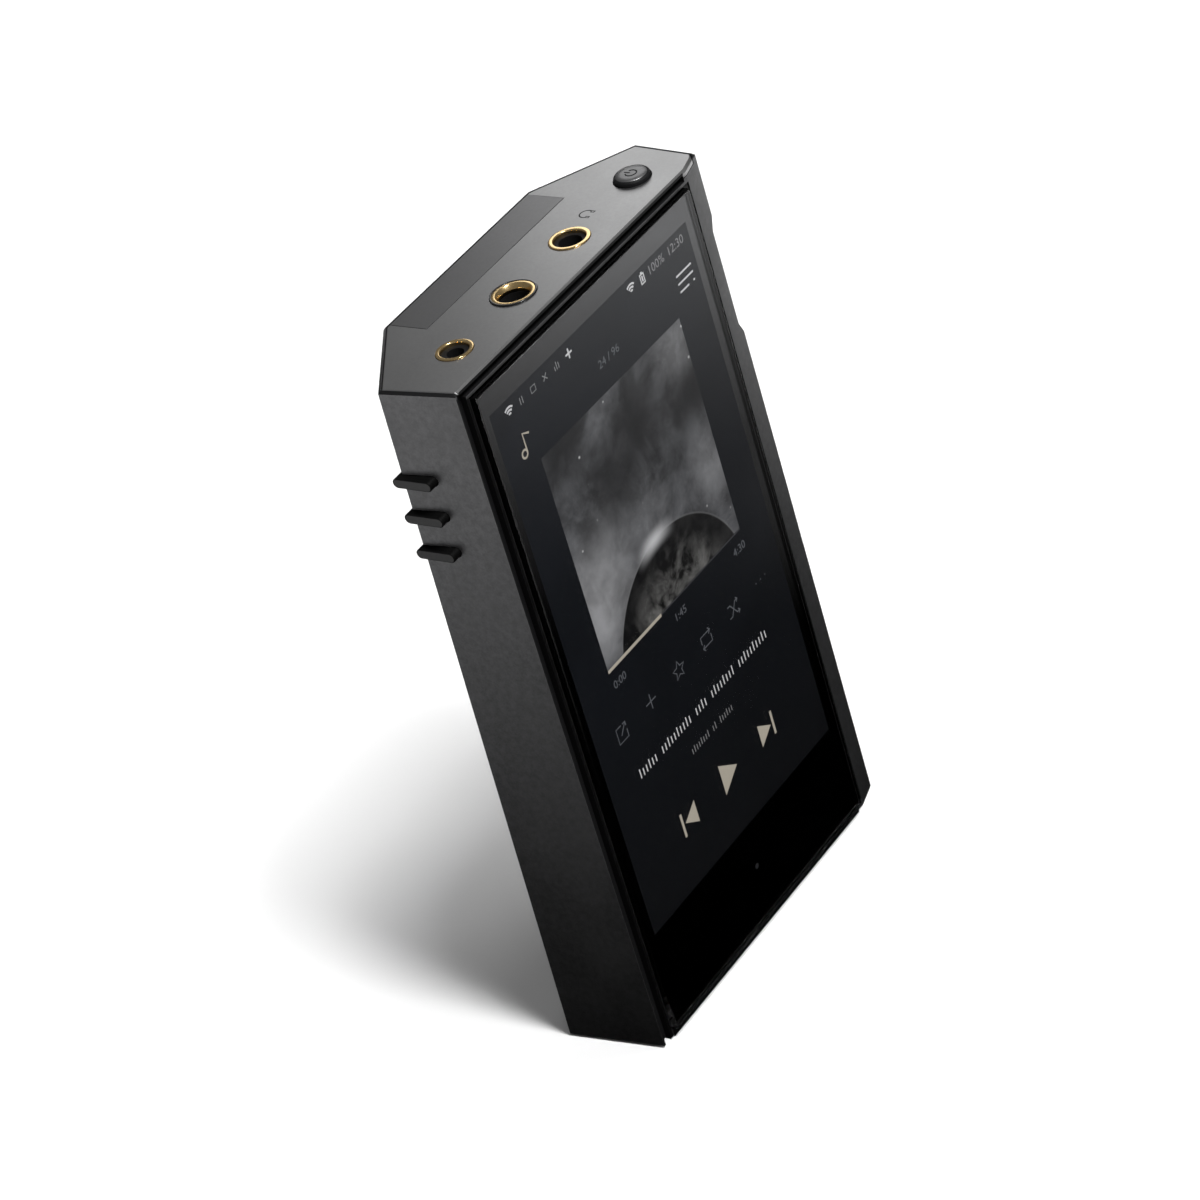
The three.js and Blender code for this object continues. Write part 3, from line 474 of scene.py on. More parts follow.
def cratered_ground(tree, at, away):
    """Rock that shows near the middle of the ball and is lost in the dark towards its rim."""
    rock = noise_at(tree, at, 8.0, Detail=9.0, Roughness=0.62, Distortion=0.4)
    pits = add_node(tree, "ShaderNodeTexVoronoi", Vector=at, Scale=13.0)
    depth = spread_value(tree, pits.outputs["Distance"], 0.05, 0.35, 0.8, 1.0)
    rough = product(tree, rock, depth)
    ground = mix_colours(tree, spread_value(tree, rough, 0.4, 0.66), ROCK_DARK, ROCK_PALE)
    dusk = spread_value(tree, away, BALL_RADIUS - 0.24, BALL_RADIUS - 0.04, 0.0, 0.9, smooth=True)
    return mix_colours(tree, dusk, ground, ROCK_DUSK)


def cover_picture(name, centre, side):
    """Cloudy night sky with a few stars over a dark, cratered ball."""
    material, tree, shader, coords = start_material(name)
    centred = add_node(tree, "ShaderNodeMapping", {"vector_type": "TEXTURE"}, Vector=coords,
                       Location=centre, Scale=(side, side, side))
    at = centred.outputs["Vector"]
    parts = parts_of(tree, at)
    across, up = parts["X"], parts["Z"]
    flat = add_node(tree, "ShaderNodeCombineXYZ", X=across, Z=up).outputs["Vector"]
    away = vector_maths(tree, "DISTANCE", flat, BALL_CENTRE)
    inside = spread_value(tree, away, BALL_RADIUS + 0.003, BALL_RADIUS - 0.003)
    picture = mix_colours(
        tree, inside, night_sky(tree, at, flat, up), cratered_ground(tree, at, away))
    off_rim = maths(tree, "ABSOLUTE", maths(tree, "SUBTRACT", away, BALL_RADIUS))
    line = spread_value(tree, off_rim, 0.006, 0.001, 0.0, 0.09)
    picture = mix_colours(tree, line, picture, STAR_WHITE)
    near_rim = spread_value(tree, off_rim, 0.06, 0.0, smooth=True)
    shine = product(tree, near_point(tree, flat, BALL_SHINE, 0.16), near_rim, 0.8)
    picture = mix_colours(tree, shine, picture, SHINE_WHITE)
    add_glow(tree, shader, picture, 0.4)
    return material


def woven_back(name, colour):
    """Dark panel with a fine slanted pattern under a clear coat."""
    material, tree, shader, coords = start_material(name)
    slant = add_node(tree, "ShaderNodeMapping", Vector=coords, Rotation=(0, math.radians(45), 0))
    weave = add_node(tree, "ShaderNodeTexChecker", Vector=slant.outputs["Vector"], Scale=700.0)
    base = mix_colours(tree, weave.outputs["Fac"], opaque(colour, 0.75), opaque(colour, 1.5))
    add_gloss(tree, shader, handling(tree, coords), 0.28, 0.4)
    set_inputs(tree, shader, Base_Color=base, Metallic=0.3, Coat_Weight=0.6, Coat_Roughness=0.08)
    return material


def make_finish(slot):
    colours = bpy.context.scene.player_colours
    makers = {
        "aluminium_dark": lambda: surface(
            slot, colours.housing, 0.46, 0.9, grain=0.16 * MM, relief=0.012 * MM, tone=0.2,
            wear=0.9),
        "aluminium_satin": lambda: surface(
            slot, colours.plate, 0.38, 1.0, grain=0.08 * MM, relief=0.003 * MM, tone=0.05, wear=0.3,
            spread=0.02),
        "black_matte": lambda: surface(
            slot, (0.006, 0.006, 0.0065), 0.62, relief=0.01 * MM, specular=0.2),
        "black_gloss": lambda: surface(slot, (0.010, 0.010, 0.011), 0.22, tone=0.05, coat=0.4),
        "wheel_dark": lambda: turned_metal(
            slot, (0.09, 0.09, 0.092), 0.3, box_of("volume_wheel")[2]),
        "back_dark": lambda: woven_back(slot, (0.02, 0.02, 0.022)),
        "cover_glass": lambda: clear_glass(slot),
        "screen": lambda: surface(slot, (0.015, 0.016, 0.02), 0.2, tone=0.1, coat=0.5),
        "gold": lambda: surface(slot, colours.gold, 0.2, 1.0, grain=0.1 * MM, relief=0.001 * MM,
                                tone=0.06),
        "rubber_black": lambda: surface(slot, (0.012, 0.012, 0.012), 0.8, relief=0.02 * MM),
        "light_guide": lambda: lit(slot, (0.5, 0.53, 0.58), 0.35),
        "board_green": lambda: circuit_board(slot, (0.008, 0.05, 0.03)),
        "tin": lambda: surface(slot, (0.45, 0.46, 0.47), 0.35, 1.0, relief=0.004 * MM),
        "chip": lambda: surface(slot, (0.02, 0.02, 0.022), 0.5, relief=0.01 * MM),
        "pouch": lambda: surface(
            slot, (0.3, 0.31, 0.32), 0.38, 0.8, grain=0.6 * MM, relief=0.03 * MM),
        "ribbon": lambda: surface(slot, (0.35, 0.16, 0.04), 0.4, coat=0.3),
        "steel": lambda: surface(slot, (0.35, 0.36, 0.37), 0.3, 1.0, relief=0.004 * MM, wear=0.4),
    }
    return makers[slot]()


def finish_of(slot):
    """The one material of a slot of the record."""
    return bpy.data.materials.get(f"{slot}_finish") or make_finish(slot)


# Mesh helpers

def box_of(node):
    """Low corner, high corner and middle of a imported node."""
    low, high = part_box(node)
    return low, high, (low + high) / 2


def new_piece(name, bm, body, slot, material=None, replaced=(), smooth=30.0):
    """Closes a bmesh into a named piece that rides on a body."""
    bmesh.ops.dissolve_degenerate(bm, dist=0.0005 * MM, edges=bm.edges)
    bmesh.ops.recalc_face_normals(bm, faces=bm.faces)
    mesh = bpy.data.meshes.new(name)
    bm.to_mesh(mesh)
    bm.free()
    mesh.shade_smooth()
    mesh.set_sharp_from_angle(angle=math.radians(smooth))
    mesh.materials.append(material or finish_of(slot))
    piece = bpy.data.objects.new(name, mesh)
    bpy.context.scene.collection.objects.link(piece)
    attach(piece, body)
    if replaced:
        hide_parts(*replaced)
    return piece


def flat_edges_even(piece):
    """Keeps wide faces flat beside their small rounded edges."""
    even = piece.modifiers.new("Even", "WEIGHTED_NORMAL")
    even.keep_sharp = True
    return piece


def soften(bm, width, segments=2, limit=25.0, chosen=None):
    """Rounds the edges that turn by more than limit degrees."""
    edges = [
        edge for edge in bm.edges
        if len(edge.link_faces) == 2
        and edge.calc_face_angle() > math.radians(limit)
        and (chosen is None or chosen(edge))
    ]
    bmesh.ops.bevel(bm, geom=edges, offset=width, segments=segments, profile=0.5,
                    affect="EDGES", clamp_overlap=True, material=-1)


def node_copy(node):
    """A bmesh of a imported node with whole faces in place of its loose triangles."""
    bm = bmesh.new()
    bm.from_mesh(frame["nodes"][node].data)
    bmesh.ops.remove_doubles(bm, verts=bm.verts, dist=0.002 * MM)
    bmesh.ops.dissolve_limit(bm, angle_limit=math.radians(0.6), verts=bm.verts, edges=bm.edges)
    return bm


def softened_node(name, node, body, width, segments=2, limit=25.0):
    bm = node_copy(node)
    soften(bm, width, segments, limit)
    piece = new_piece(name, bm, body, SLOT_OF_NODE[node], replaced=[node], smooth=40.0)
    return flat_edges_even(piece)


def blocks(*pairs):
    """A bmesh of boxes, each between a low and a high corner."""
    bm = bmesh.new()
    for low, high in pairs:
        size = Vector(high) - Vector(low)
        middle = (Vector(high) + Vector(low)) / 2
        place = Matrix.Translation(middle) @ Matrix.Diagonal((*size, 1))
        bmesh.ops.create_cube(bm, size=1.0, matrix=place)
    return bm


def spun(profile, steps=96):
    """Turns (radius, height) pairs about Z; the profile is closed or ends on the axis."""
    bm = bmesh.new()
    points = [bm.verts.new((radius, 0, height)) for radius, height in profile]
    pairs = list(zip(points, points[1:]))
    if profile[0][0] > 0:
        pairs.append((points[-1], points[0]))
    edges = [bm.edges.new(pair) for pair in pairs]
    bmesh.ops.spin(bm, geom=points + edges, cent=(0, 0, 0), axis=(0, 0, 1), steps=steps,
                   angle=math.tau, use_merge=True)
    bmesh.ops.remove_doubles(bm, verts=bm.verts, dist=0.0005 * MM)
    return bm


def round_bar(length, thickness, steps=40):
    """Outline of a bar with round ends in the YZ plane: a circle pulled apart along Y."""
    bm = bmesh.new()
    made = bmesh.ops.create_circle(bm, cap_ends=True, radius=thickness / 2, segments=steps,
                                   matrix=Matrix.Rotation(math.pi / steps, 4, "Z"))
    pull = (length - thickness) / 2
    for vert in made["verts"]:
        vert.co.x += math.copysign(pull, vert.co.x)
    turn = Matrix.Rotation(math.pi / 2, 4, "Z") @ Matrix.Rotation(math.pi / 2, 4, "X")
    bmesh.ops.transform(bm, matrix=turn, verts=bm.verts)
    return bm


def thicken(bm, faces, step):
    """Extrudes faces by a vector and returns the moved faces."""
    edges = {edge for face in faces for edge in face.edges}
    corners = {vert for face in faces for vert in face.verts}
    made = bmesh.ops.extrude_face_region(bm, geom=[*faces, *edges, *corners])["geom"]
    moved = [part for part in made if isinstance(part, bmesh.types.BMVert)]
    bmesh.ops.translate(bm, vec=step, verts=moved)
    return [part for part in made if isinstance(part, bmesh.types.BMFace)]


# Line icons: each is a list of (points, closed) in millimetres about its own centre

def star_icon():
    points = []
    for corner in range(10):
        radius = 1.55 if corner % 2 == 0 else 0.72
        angle = math.radians(90 + 36 * corner)
        points.append((radius * math.cos(angle), radius * math.sin(angle)))
    return [(points, True)]


def arc(radius, start, stop, steps=12, centre=(0, 0)):
    """Points of an arc between two angles in degrees."""
    points = []
    for step in range(steps + 1):
        angle = math.radians(start + (stop - start) * step / steps)
        points.append((centre[0] + radius * math.cos(angle), centre[1] + radius * math.sin(angle)))
    return points


PLUS_ICON = [([(-1.3, 0), (1.3, 0)], False), ([(0, -1.3), (0, 1.3)], False)]
QUEUE_ICON = [
    ([(0.1, 1.3), (-1.2, 1.3), (-1.2, -1.3), (1.2, -1.3), (1.2, 0)], False),
    ([(-0.3, -0.3), (1.2, 1.3)], False),
    ([(0.5, 1.3), (1.2, 1.3), (1.2, 0.6)], False),
]
REPEAT_ICON = [
    ([(-1.3, -0.2), (-1.3, 1.0), (1.3, 1.0)], False),
    ([(0.8, 1.5), (1.3, 1.0), (0.8, 0.5)], False),
    ([(1.3, 0.2), (1.3, -1.0), (-1.3, -1.0)], False),
    ([(-0.8, -1.5), (-1.3, -1.0), (-0.8, -0.5)], False),
]
SHUFFLE_ICON = [
    ([(-1.4, -1.0), (-0.7, -1.0), (0.7, 1.0), (1.4, 1.0)], False),
    ([(-1.4, 1.0), (-0.7, 1.0), (0.7, -1.0), (1.4, -1.0)], False),
    ([(1.0, 1.4), (1.4, 1.0), (1.0, 0.6)], False),
    ([(1.0, -1.4), (1.4, -1.0), (1.0, -0.6)], False),
]
DOTS_ICON = [([(x - 0.1, 0), (x + 0.1, 0)], False) for x in (-1.3, 0, 1.3)]
LIST_ICON = [
    ([(-2.1, 1.3), (1.9, 1.3)], False),
    ([(-2.1, 0), (1.9, 0)], False),
    ([(-2.1, -1.3), (0.3, -1.3)], False),
    ([(1.5, -1.3), (1.9, -1.3)], False),
]
NOTE_ICON = [
    (arc(0.62, 0, 330, centre=(-0.75, -1.25)), True),
    ([(-0.13, -1.25), (-0.13, 1.7), (1.3, 1.05)], False),
]
WAVES_ICON = [
    (arc(0.45, 50, 130, 6, (0, -0.7)), False),
    (arc(1.0, 50, 130, 8, (0, -0.7)), False),
    (arc(1.55, 50, 130, 10, (0, -0.7)), False),
]
BATTERY_ICON = [
    ([(-0.5, -0.9), (0.5, -0.9), (0.5, 0.7), (-0.5, 0.7)], True),
    ([(-0.2, 0.95), (0.2, 0.95)], False),
    ([(0, -0.6), (0, 0.4)], False),
]
BARS_ICON = [([(x, -0.8), (x, top)], False) for x, top in ((-0.6, 0.1), (0, 0.8), (0.6, 0.4))]
SQUARE_ICON = [([(-0.7, -0.6), (0.7, -0.6), (0.7, 0.6), (-0.7, 0.6)], True)]
CROSS_ICON = [([(-0.6, -0.6), (0.6, 0.6)], False), ([(-0.6, 0.6), (0.6, -0.6)], False)]
PAUSE_ICON = [([(x, -0.7), (x, 0.7)], False) for x in (-0.35, 0.35)]
HEADPHONE_ICON = [
    (arc(1.0, -25, 205, 16), False),
    ([(-0.95, -0.35), (-0.95, -1.0), (-0.6, -1.0), (-0.6, -0.45)], True),
    ([(0.95, -0.35), (0.95, -1.0), (0.6, -1.0), (0.6, -0.45)], True),
]
POWER_ICON = [(arc(0.85, 125, 415, 24), False), ([(0, 0.2), (0, 1.15)], False)]


def moved_icon(icon, across, up, scale=1.0):
    return [([(across + scale * x, up + scale * y) for x, y in points], closed)
            for points, closed in icon]


def icons_in_row(icons, across, up, step, scale=1.0):
    row = []
    for number, icon in enumerate(icons):
        row += moved_icon(icon, across + step * number, up, scale)
    return row


def mesh_of(curve):
    """Mesh of a curve or of a line of text, which is then removed."""
    drawn = bpy.data.objects.new("drawn", curve)
    mesh = bpy.data.meshes.new_from_object(drawn)
    bpy.data.objects.remove(drawn)
    bpy.data.curves.remove(curve)
    return mesh


def line_mesh(lines, width, flatness=0.1):
    """Mesh of round-topped lines in the XY plane, in metres; lines are in millimetres."""
    curve = bpy.data.curves.new("lines", "CURVE")
    curve.dimensions = "3D"
    curve.bevel_depth = width / 2
    curve.bevel_resolution = 1
    curve.use_fill_caps = True
    for points, closed in lines:
        spline = curve.splines.new("POLY")
        spline.points.add(len(points) - 1)
        for point, (x, y) in zip(spline.points, points):
            point.co = (x * MM, y * MM, 0, 1)
        spline.use_cyclic_u = closed
    mesh = mesh_of(curve)
    mesh.transform(Matrix.Diagonal((1, 1, flatness, 1)))
    return mesh


def text_mesh(words, size, across, up):
    """Mesh of one line of numerals in the XY plane."""
    curve = bpy.data.curves.new("numerals", "FONT")
    curve.body = words
    curve.size = size * MM
    curve.align_x = "CENTER"
    curve.align_y = "CENTER"
    curve.extrude = 0.008 * MM
    curve.resolution_u = 3
    mesh = mesh_of(curve)
    mesh.transform(Matrix.Translation((across * MM, up * MM, 0)))
    return mesh


def gather(meshes, place):
    """One bmesh of several flat meshes, moved to their place."""
    bm = bmesh.new()
    for mesh in meshes:
        bm.from_mesh(mesh)
        bpy.data.meshes.remove(mesh)
    bmesh.ops.remove_doubles(bm, verts=bm.verts, dist=0.0005 * MM)
    bmesh.ops.transform(bm, matrix=place, verts=bm.verts)
    return bm


def on_display(depth):
    """Place of a flat drawing on the display: its origin is the screen's lower left corner."""
    at = Vector((SCREEN_CORNER.x, GLASS_HIGH.y + depth, SCREEN_CORNER.z))
    return Matrix.Translation(at) @ ONTO_FRONT


# Display page: depths are behind the back of the glass, and the layout is in millimetres from the
# lower left corner of the screen

ICON_DEPTH = 0.02 * MM
PAGE_DEPTH = 0.05 * MM
PAGE_THICKNESS = 0.04 * MM
PAGE_MARGIN = 0.3
PICTURE_MIDDLE = (26.05, 61.8)
PICTURE_SIDE = 37.1
PROGRESS_UP = 43.1
PROGRESS_ENDS = (7.5, 22.1, 44.6)
PLAY_MIDDLE = (26.3, 10.6)
PLAY_CORNERS = [(-1.9, -2.75), (2.4, 0), (-1.9, 2.75)]
SKIP_NEAR, SKIP_FAR, SKIP_BAR = 9.3, 12.5, 12.9
TITLE_WORDS, TITLE_UP, TITLE_SIZE = (3, 5, 2, 4, 5), 24.4, 1.0
ARTIST_WORDS, ARTIST_UP, ARTIST_SIZE = (4, 1, 3), 19.4, 0.75
ICON_ROW_START, ICON_ROW_UP, ICON_ROW_STEP = 6.5, 32.9, 7.9
STATUS_START, STATUS_UP, STATUS_STEP, STATUS_SCALE = 7.2, 90.3, 3.0, 0.8
HEADER_MARKS = (
    (WAVES_ICON, 4.2, 90.3, 0.9),
    (PLUS_ICON, 19.4, 90.3, 0.6),
    (WAVES_ICON, 36.2, 90.5, 0.9),
    (BATTERY_ICON, 39.2, 90.5, 0.9),
    (LIST_ICON, 48.6, 84.8, 1.0),
)
NOTE_PLACE = (5.4, 84.3)
CLOCK_SIZE, TIME_SIZE = 2.0, 1.9
CLOCK_NUMERALS = (("100%", 42.9, 90.5), ("12:30", 48.2, 90.5))
TIME_NUMERALS = (
    ("0:00", 9.4, 40.4), ("1:45", 26.3, 40.4), ("4:30", 43.2, 40.4), ("24 / 96", 27.4, 84.7))

# Power key and side keys

POWER_RADIUS = 2.8 * MM
POWER_STEM = 1.4 * MM
POWER_FLANGE = 0.5 * MM
POWER_FLANGE_DEPTH = 1.2 * MM
KEY_LENGTH = 6.8 * MM
KEY_THICKNESS = 1.6 * MM
KEY_REACH = 3.3 * MM
KEY_BORDER = 0.16 * MM

# Studio: places on the floor are in metres from the origin

FLOOR_HALF = 6.0
FLOOR_DROP = 0.05 * MM
FLOOR_DARK, FLOOR_BRIGHT = 0.09, 0.26
FLOOR_FALL = 2.2
FLOOR_GLOW = 1.62
FRONT_FAR, FRONT_NEAR = -0.09, -0.05
FRONT_FAR_GLOW, FRONT_NEAR_GLOW = 0.3, 1.15
PATCH_SIDES = (("Y", -0.16, -0.26), ("Y", -0.50, -0.40), ("X", 0.06, 0.16), ("X", 0.55, 0.45))
PATCH_GLOW = 6.0
ROOM_LOW, ROOM_HIGH = 0.12, 0.21
BACKDROP_GLOW = 1.05
KEY_HEIGHTS = (53, 61, 69)
KEY_SPREAD, SIDE_SPREAD, SIDE_HEIGHT = 11, 40, 45
KEY_HEADING, SIDE_HEADING = (0.12, 0.99), (-0.8, 0.6)
SOFT_BOX_PLACE = Vector((0.16, 0.09, 0.20))
SOFT_BOX_TARGET = Vector((0.02, 0, PLATE_TOP))
SOFT_BOX_SIZE = 0.09


# Operators

class PieceOperator:
    bl_options = {"REGISTER", "UNDO"}


class PLAYER_OT_finish_nodes(PieceOperator, bpy.types.Operator):
    """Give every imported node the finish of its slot"""

    bl_idname = "player.finish_nodes"
    bl_label = "Finish packed nodes"

    def execute(self, context):
        for node, piece in frame["nodes"].items():
            piece.data.materials.clear()
            piece.data.materials.append(finish_of(SLOT_OF_NODE[node]))
        return {"FINISHED"}


class PLAYER_OT_make_housing(PieceOperator, bpy.types.Operator):
    """Make the milled housing with softened edges"""

    bl_idname = "player.make_housing"
    bl_label = "Housing"

    def execute(self, context):
        softened_node("housing_shell", "housing", "body", context.scene.player_sizes.housing_edge)
        # Painted shade on the top chamfer: a dark sheet over the housing's metal.
        self.make_top_trim()
        self.make_groove_lining()
        # Painted shade on the front face below the glass.
        self.make_foot_trim()
        return {"FINISHED"}

    def make_top_trim(self):
        """Painted shade: a black sheet over the housing's own chamfer round the top plate."""
        bm = node_copy("housing")
        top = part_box("housing")[1].z
        others = [
            face for face in bm.faces
            if face.calc_center_median().z <= top - 0.6 * MM or not 0.2 < face.normal.z < 0.95
        ]
        bmesh.ops.delete(bm, geom=others, context="FACES")
        thicken(bm, list(bm.faces), Vector((0, 0, SHEET)))
        # The black sheet is painted shade on the aluminium chamfer.
        new_piece("top_chamfer_shade", bm, "body", "black_matte")

    def make_groove_lining(self):
        """Black walls of the groove along the left and the top of the front."""
        low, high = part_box("groove_liner")
        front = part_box("housing")[0].y + 0.05 * MM
        left = low.x - 0.05 * MM
        right = high.x + 0.05 * MM
        top = high.z + 0.1 * MM
        sheet = 0.02 * MM
        inner = left + GROOVE_WIDTH
        under = top - GROOVE_HEIGHT
        walls = (
            ((left, low.z), (left + sheet, top)),
            ((inner - sheet, low.z), (inner, under)),
            ((left + sheet, top - sheet), (right - sheet, top)),
            ((inner, under), (right - sheet, under + sheet)),
            ((right - sheet, under), (right, top)),
        )
        bm = blocks(*(
            ((x0, front, z0), (x1, high.y, z1)) for (x0, z0), (x1, z1) in walls))
        new_piece("groove_lining", bm, "body", "black_matte")
        # Painted shade on the rim and the front edges beside the groove.
        self.make_rim_trim(inner, low.z, under, right, top)

    def make_rim_trim(self, left, bottom, under, right, top):
        """Painted shade beside the groove: a darker copy of the housing metal on the pocket's left
        rim, and black sheets on the edges of body and plate.
        """
        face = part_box("housing")[0].y
        front, back = face - SHEET, face + SHEET
        outer = left - GROOVE_WIDTH
        rim = blocks(((left, front, bottom), (left + RIM_WIDTH, back, under - RIM_WIDTH)))
        # Painted shade: the rim is a darker copy of the housing's anodised finish.
        new_piece("rim_shade_sheet", rim, "body", "aluminium_dark", surface(
            "rim_painted_shade", (0.018, 0.018, 0.0185), 0.46, 0.9, tone=0.2))
        # Painted shade: black sheets on the front edges of the body and the plate.
        edge = blocks(
            ((outer - 0.25 * MM, front, bottom), (outer, back, top - 0.4 * MM)),
            ((outer + 0.6 * MM, front, top - 0.1 * MM),
             (right, face + 0.01 * MM, PLATE_TOP - 0.13 * MM)))
        new_piece("plate_edge_shade_sheet", edge, "body", "black_matte")

    def make_foot_trim(self):
        """Painted shade: a dark sheet on the narrow front face below the cover glass, over the
        housing's own metal.
        """
        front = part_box("housing")[0].y
        bm = blocks(
            ((GLASS_LOW.x, front - SHEET, 0.05 * MM), (GLASS_HIGH.x, front + SHEET, 1.2 * MM)))
        # The dark sheet is painted shade.
        new_piece("foot_shade_sheet", bm, "body", "black_matte")


class PLAYER_OT_make_top_plate(PieceOperator, bpy.types.Operator):
    """Make the top plate, its antenna window and its printed mark"""

    bl_idname = "player.make_top_plate"
    bl_label = "Top plate"

    def execute(self, context):
        edge = context.scene.player_sizes.plate_edge
        softened_node("top_plate_cover", "top_plate", "body", edge)
        window = softened_node("antenna_window_cover", "antenna_window", "body", edge)
        window.data.materials.clear()
        window.data.materials.append(surface(
            "window_satin", (0.20, 0.20, 0.203), 0.40, 0.95, grain=0.08 * MM, tone=0.05,
            spread=0.02))
        middle = box_of("jack_35_ring")[2]
        mark = line_mesh(HEADPHONE_ICON, 0.22 * MM)
        place = Matrix.Translation((middle.x + 6.7 * MM, middle.y + 1.5 * MM, PLATE_TOP))
        new_piece("headphone_mark", gather([mark], place), "body", "black_matte")
        return {"FINISHED"}


class PLAYER_OT_make_glass(PieceOperator, bpy.types.Operator):
    """Make the cover glass and the printed border behind it"""

    bl_idname = "player.make_glass"
    bl_label = "Cover glass"

    def execute(self, context):
        edge = context.scene.player_sizes.glass_edge
        bm = blocks((GLASS_LOW, GLASS_HIGH))

        def in_front(point):
            return point.co.y < GLASS_LOW.y + 0.01 * MM

        soften(bm, edge, 3, chosen=lambda e: all(in_front(vert) for vert in e.verts))
        soften(bm, 0.03 * MM, 1, limit=60.0)
        lens = new_piece("cover_lens", bm, "body", "cover_glass", replaced=["cover_glass"])
        flat_edges_even(lens)
        self.make_border()
        self.make_edge_ink()
        return {"FINISHED"}

    def make_border(self):
        """Printed border: a thin sheet with the screen left open."""
        bm = bmesh.new()
        inset = 0.1 * MM
        front = GLASS_HIGH.y + 0.015 * MM
        low = Vector((GLASS_LOW.x + inset, front, GLASS_LOW.z + inset))
        high = Vector((GLASS_HIGH.x - inset, front, GLASS_HIGH.z - inset))
        middle = (low + high) / 2
        bmesh.ops.create_grid(
            bm, x_segments=3, y_segments=3, size=0.5,
            matrix=Matrix.Translation(middle)
            @ ONTO_FRONT
            @ Matrix.Diagonal((high.x - low.x, high.z - low.z, 1, 1)))
        columns = [low.x, SCREEN_CORNER.x, SCREEN_CORNER.x + SCREEN_WIDTH, high.x]
        rows = [low.z, SCREEN_CORNER.z, SCREEN_CORNER.z + SCREEN_HEIGHT, high.z]
        for vert in bm.verts:
            column = round((vert.co.x - low.x) / (high.x - low.x) * 3)
            row = round((vert.co.z - low.z) / (high.z - low.z) * 3)
            vert.co.x = columns[column]
            vert.co.z = rows[row]
        window = [face for face in bm.faces if self.over_screen(face.calc_center_median())]
        bmesh.ops.delete(bm, geom=window, context="FACES")
        thicken(bm, list(bm.faces), Vector((0, 0.02 * MM, 0)))
        material = surface("border_print", bpy.context.scene.player_colours.border, 0.06, 1.0,
                           grain=1.0 * MM, tone=0.02, spread=0.01)
        new_piece("glass_border", bm, "body", "black_gloss", material)

    def make_edge_ink(self):
        """Ink along the lower edge of the glass."""
        inset = 0.3 * MM
        bm = blocks((
            (GLASS_LOW.x + inset, GLASS_LOW.y + 0.15 * MM, GLASS_LOW.z + 0.03 * MM),
            (GLASS_HIGH.x - inset, GLASS_HIGH.y - 0.02 * MM, GLASS_LOW.z + 0.05 * MM)))
        new_piece("glass_edge_ink", bm, "body", "black_matte")

    def over_screen(self, point):
        return (
            SCREEN_CORNER.x < point.x < SCREEN_CORNER.x + SCREEN_WIDTH
            and SCREEN_CORNER.z < point.z < SCREEN_CORNER.z + SCREEN_HEIGHT
        )


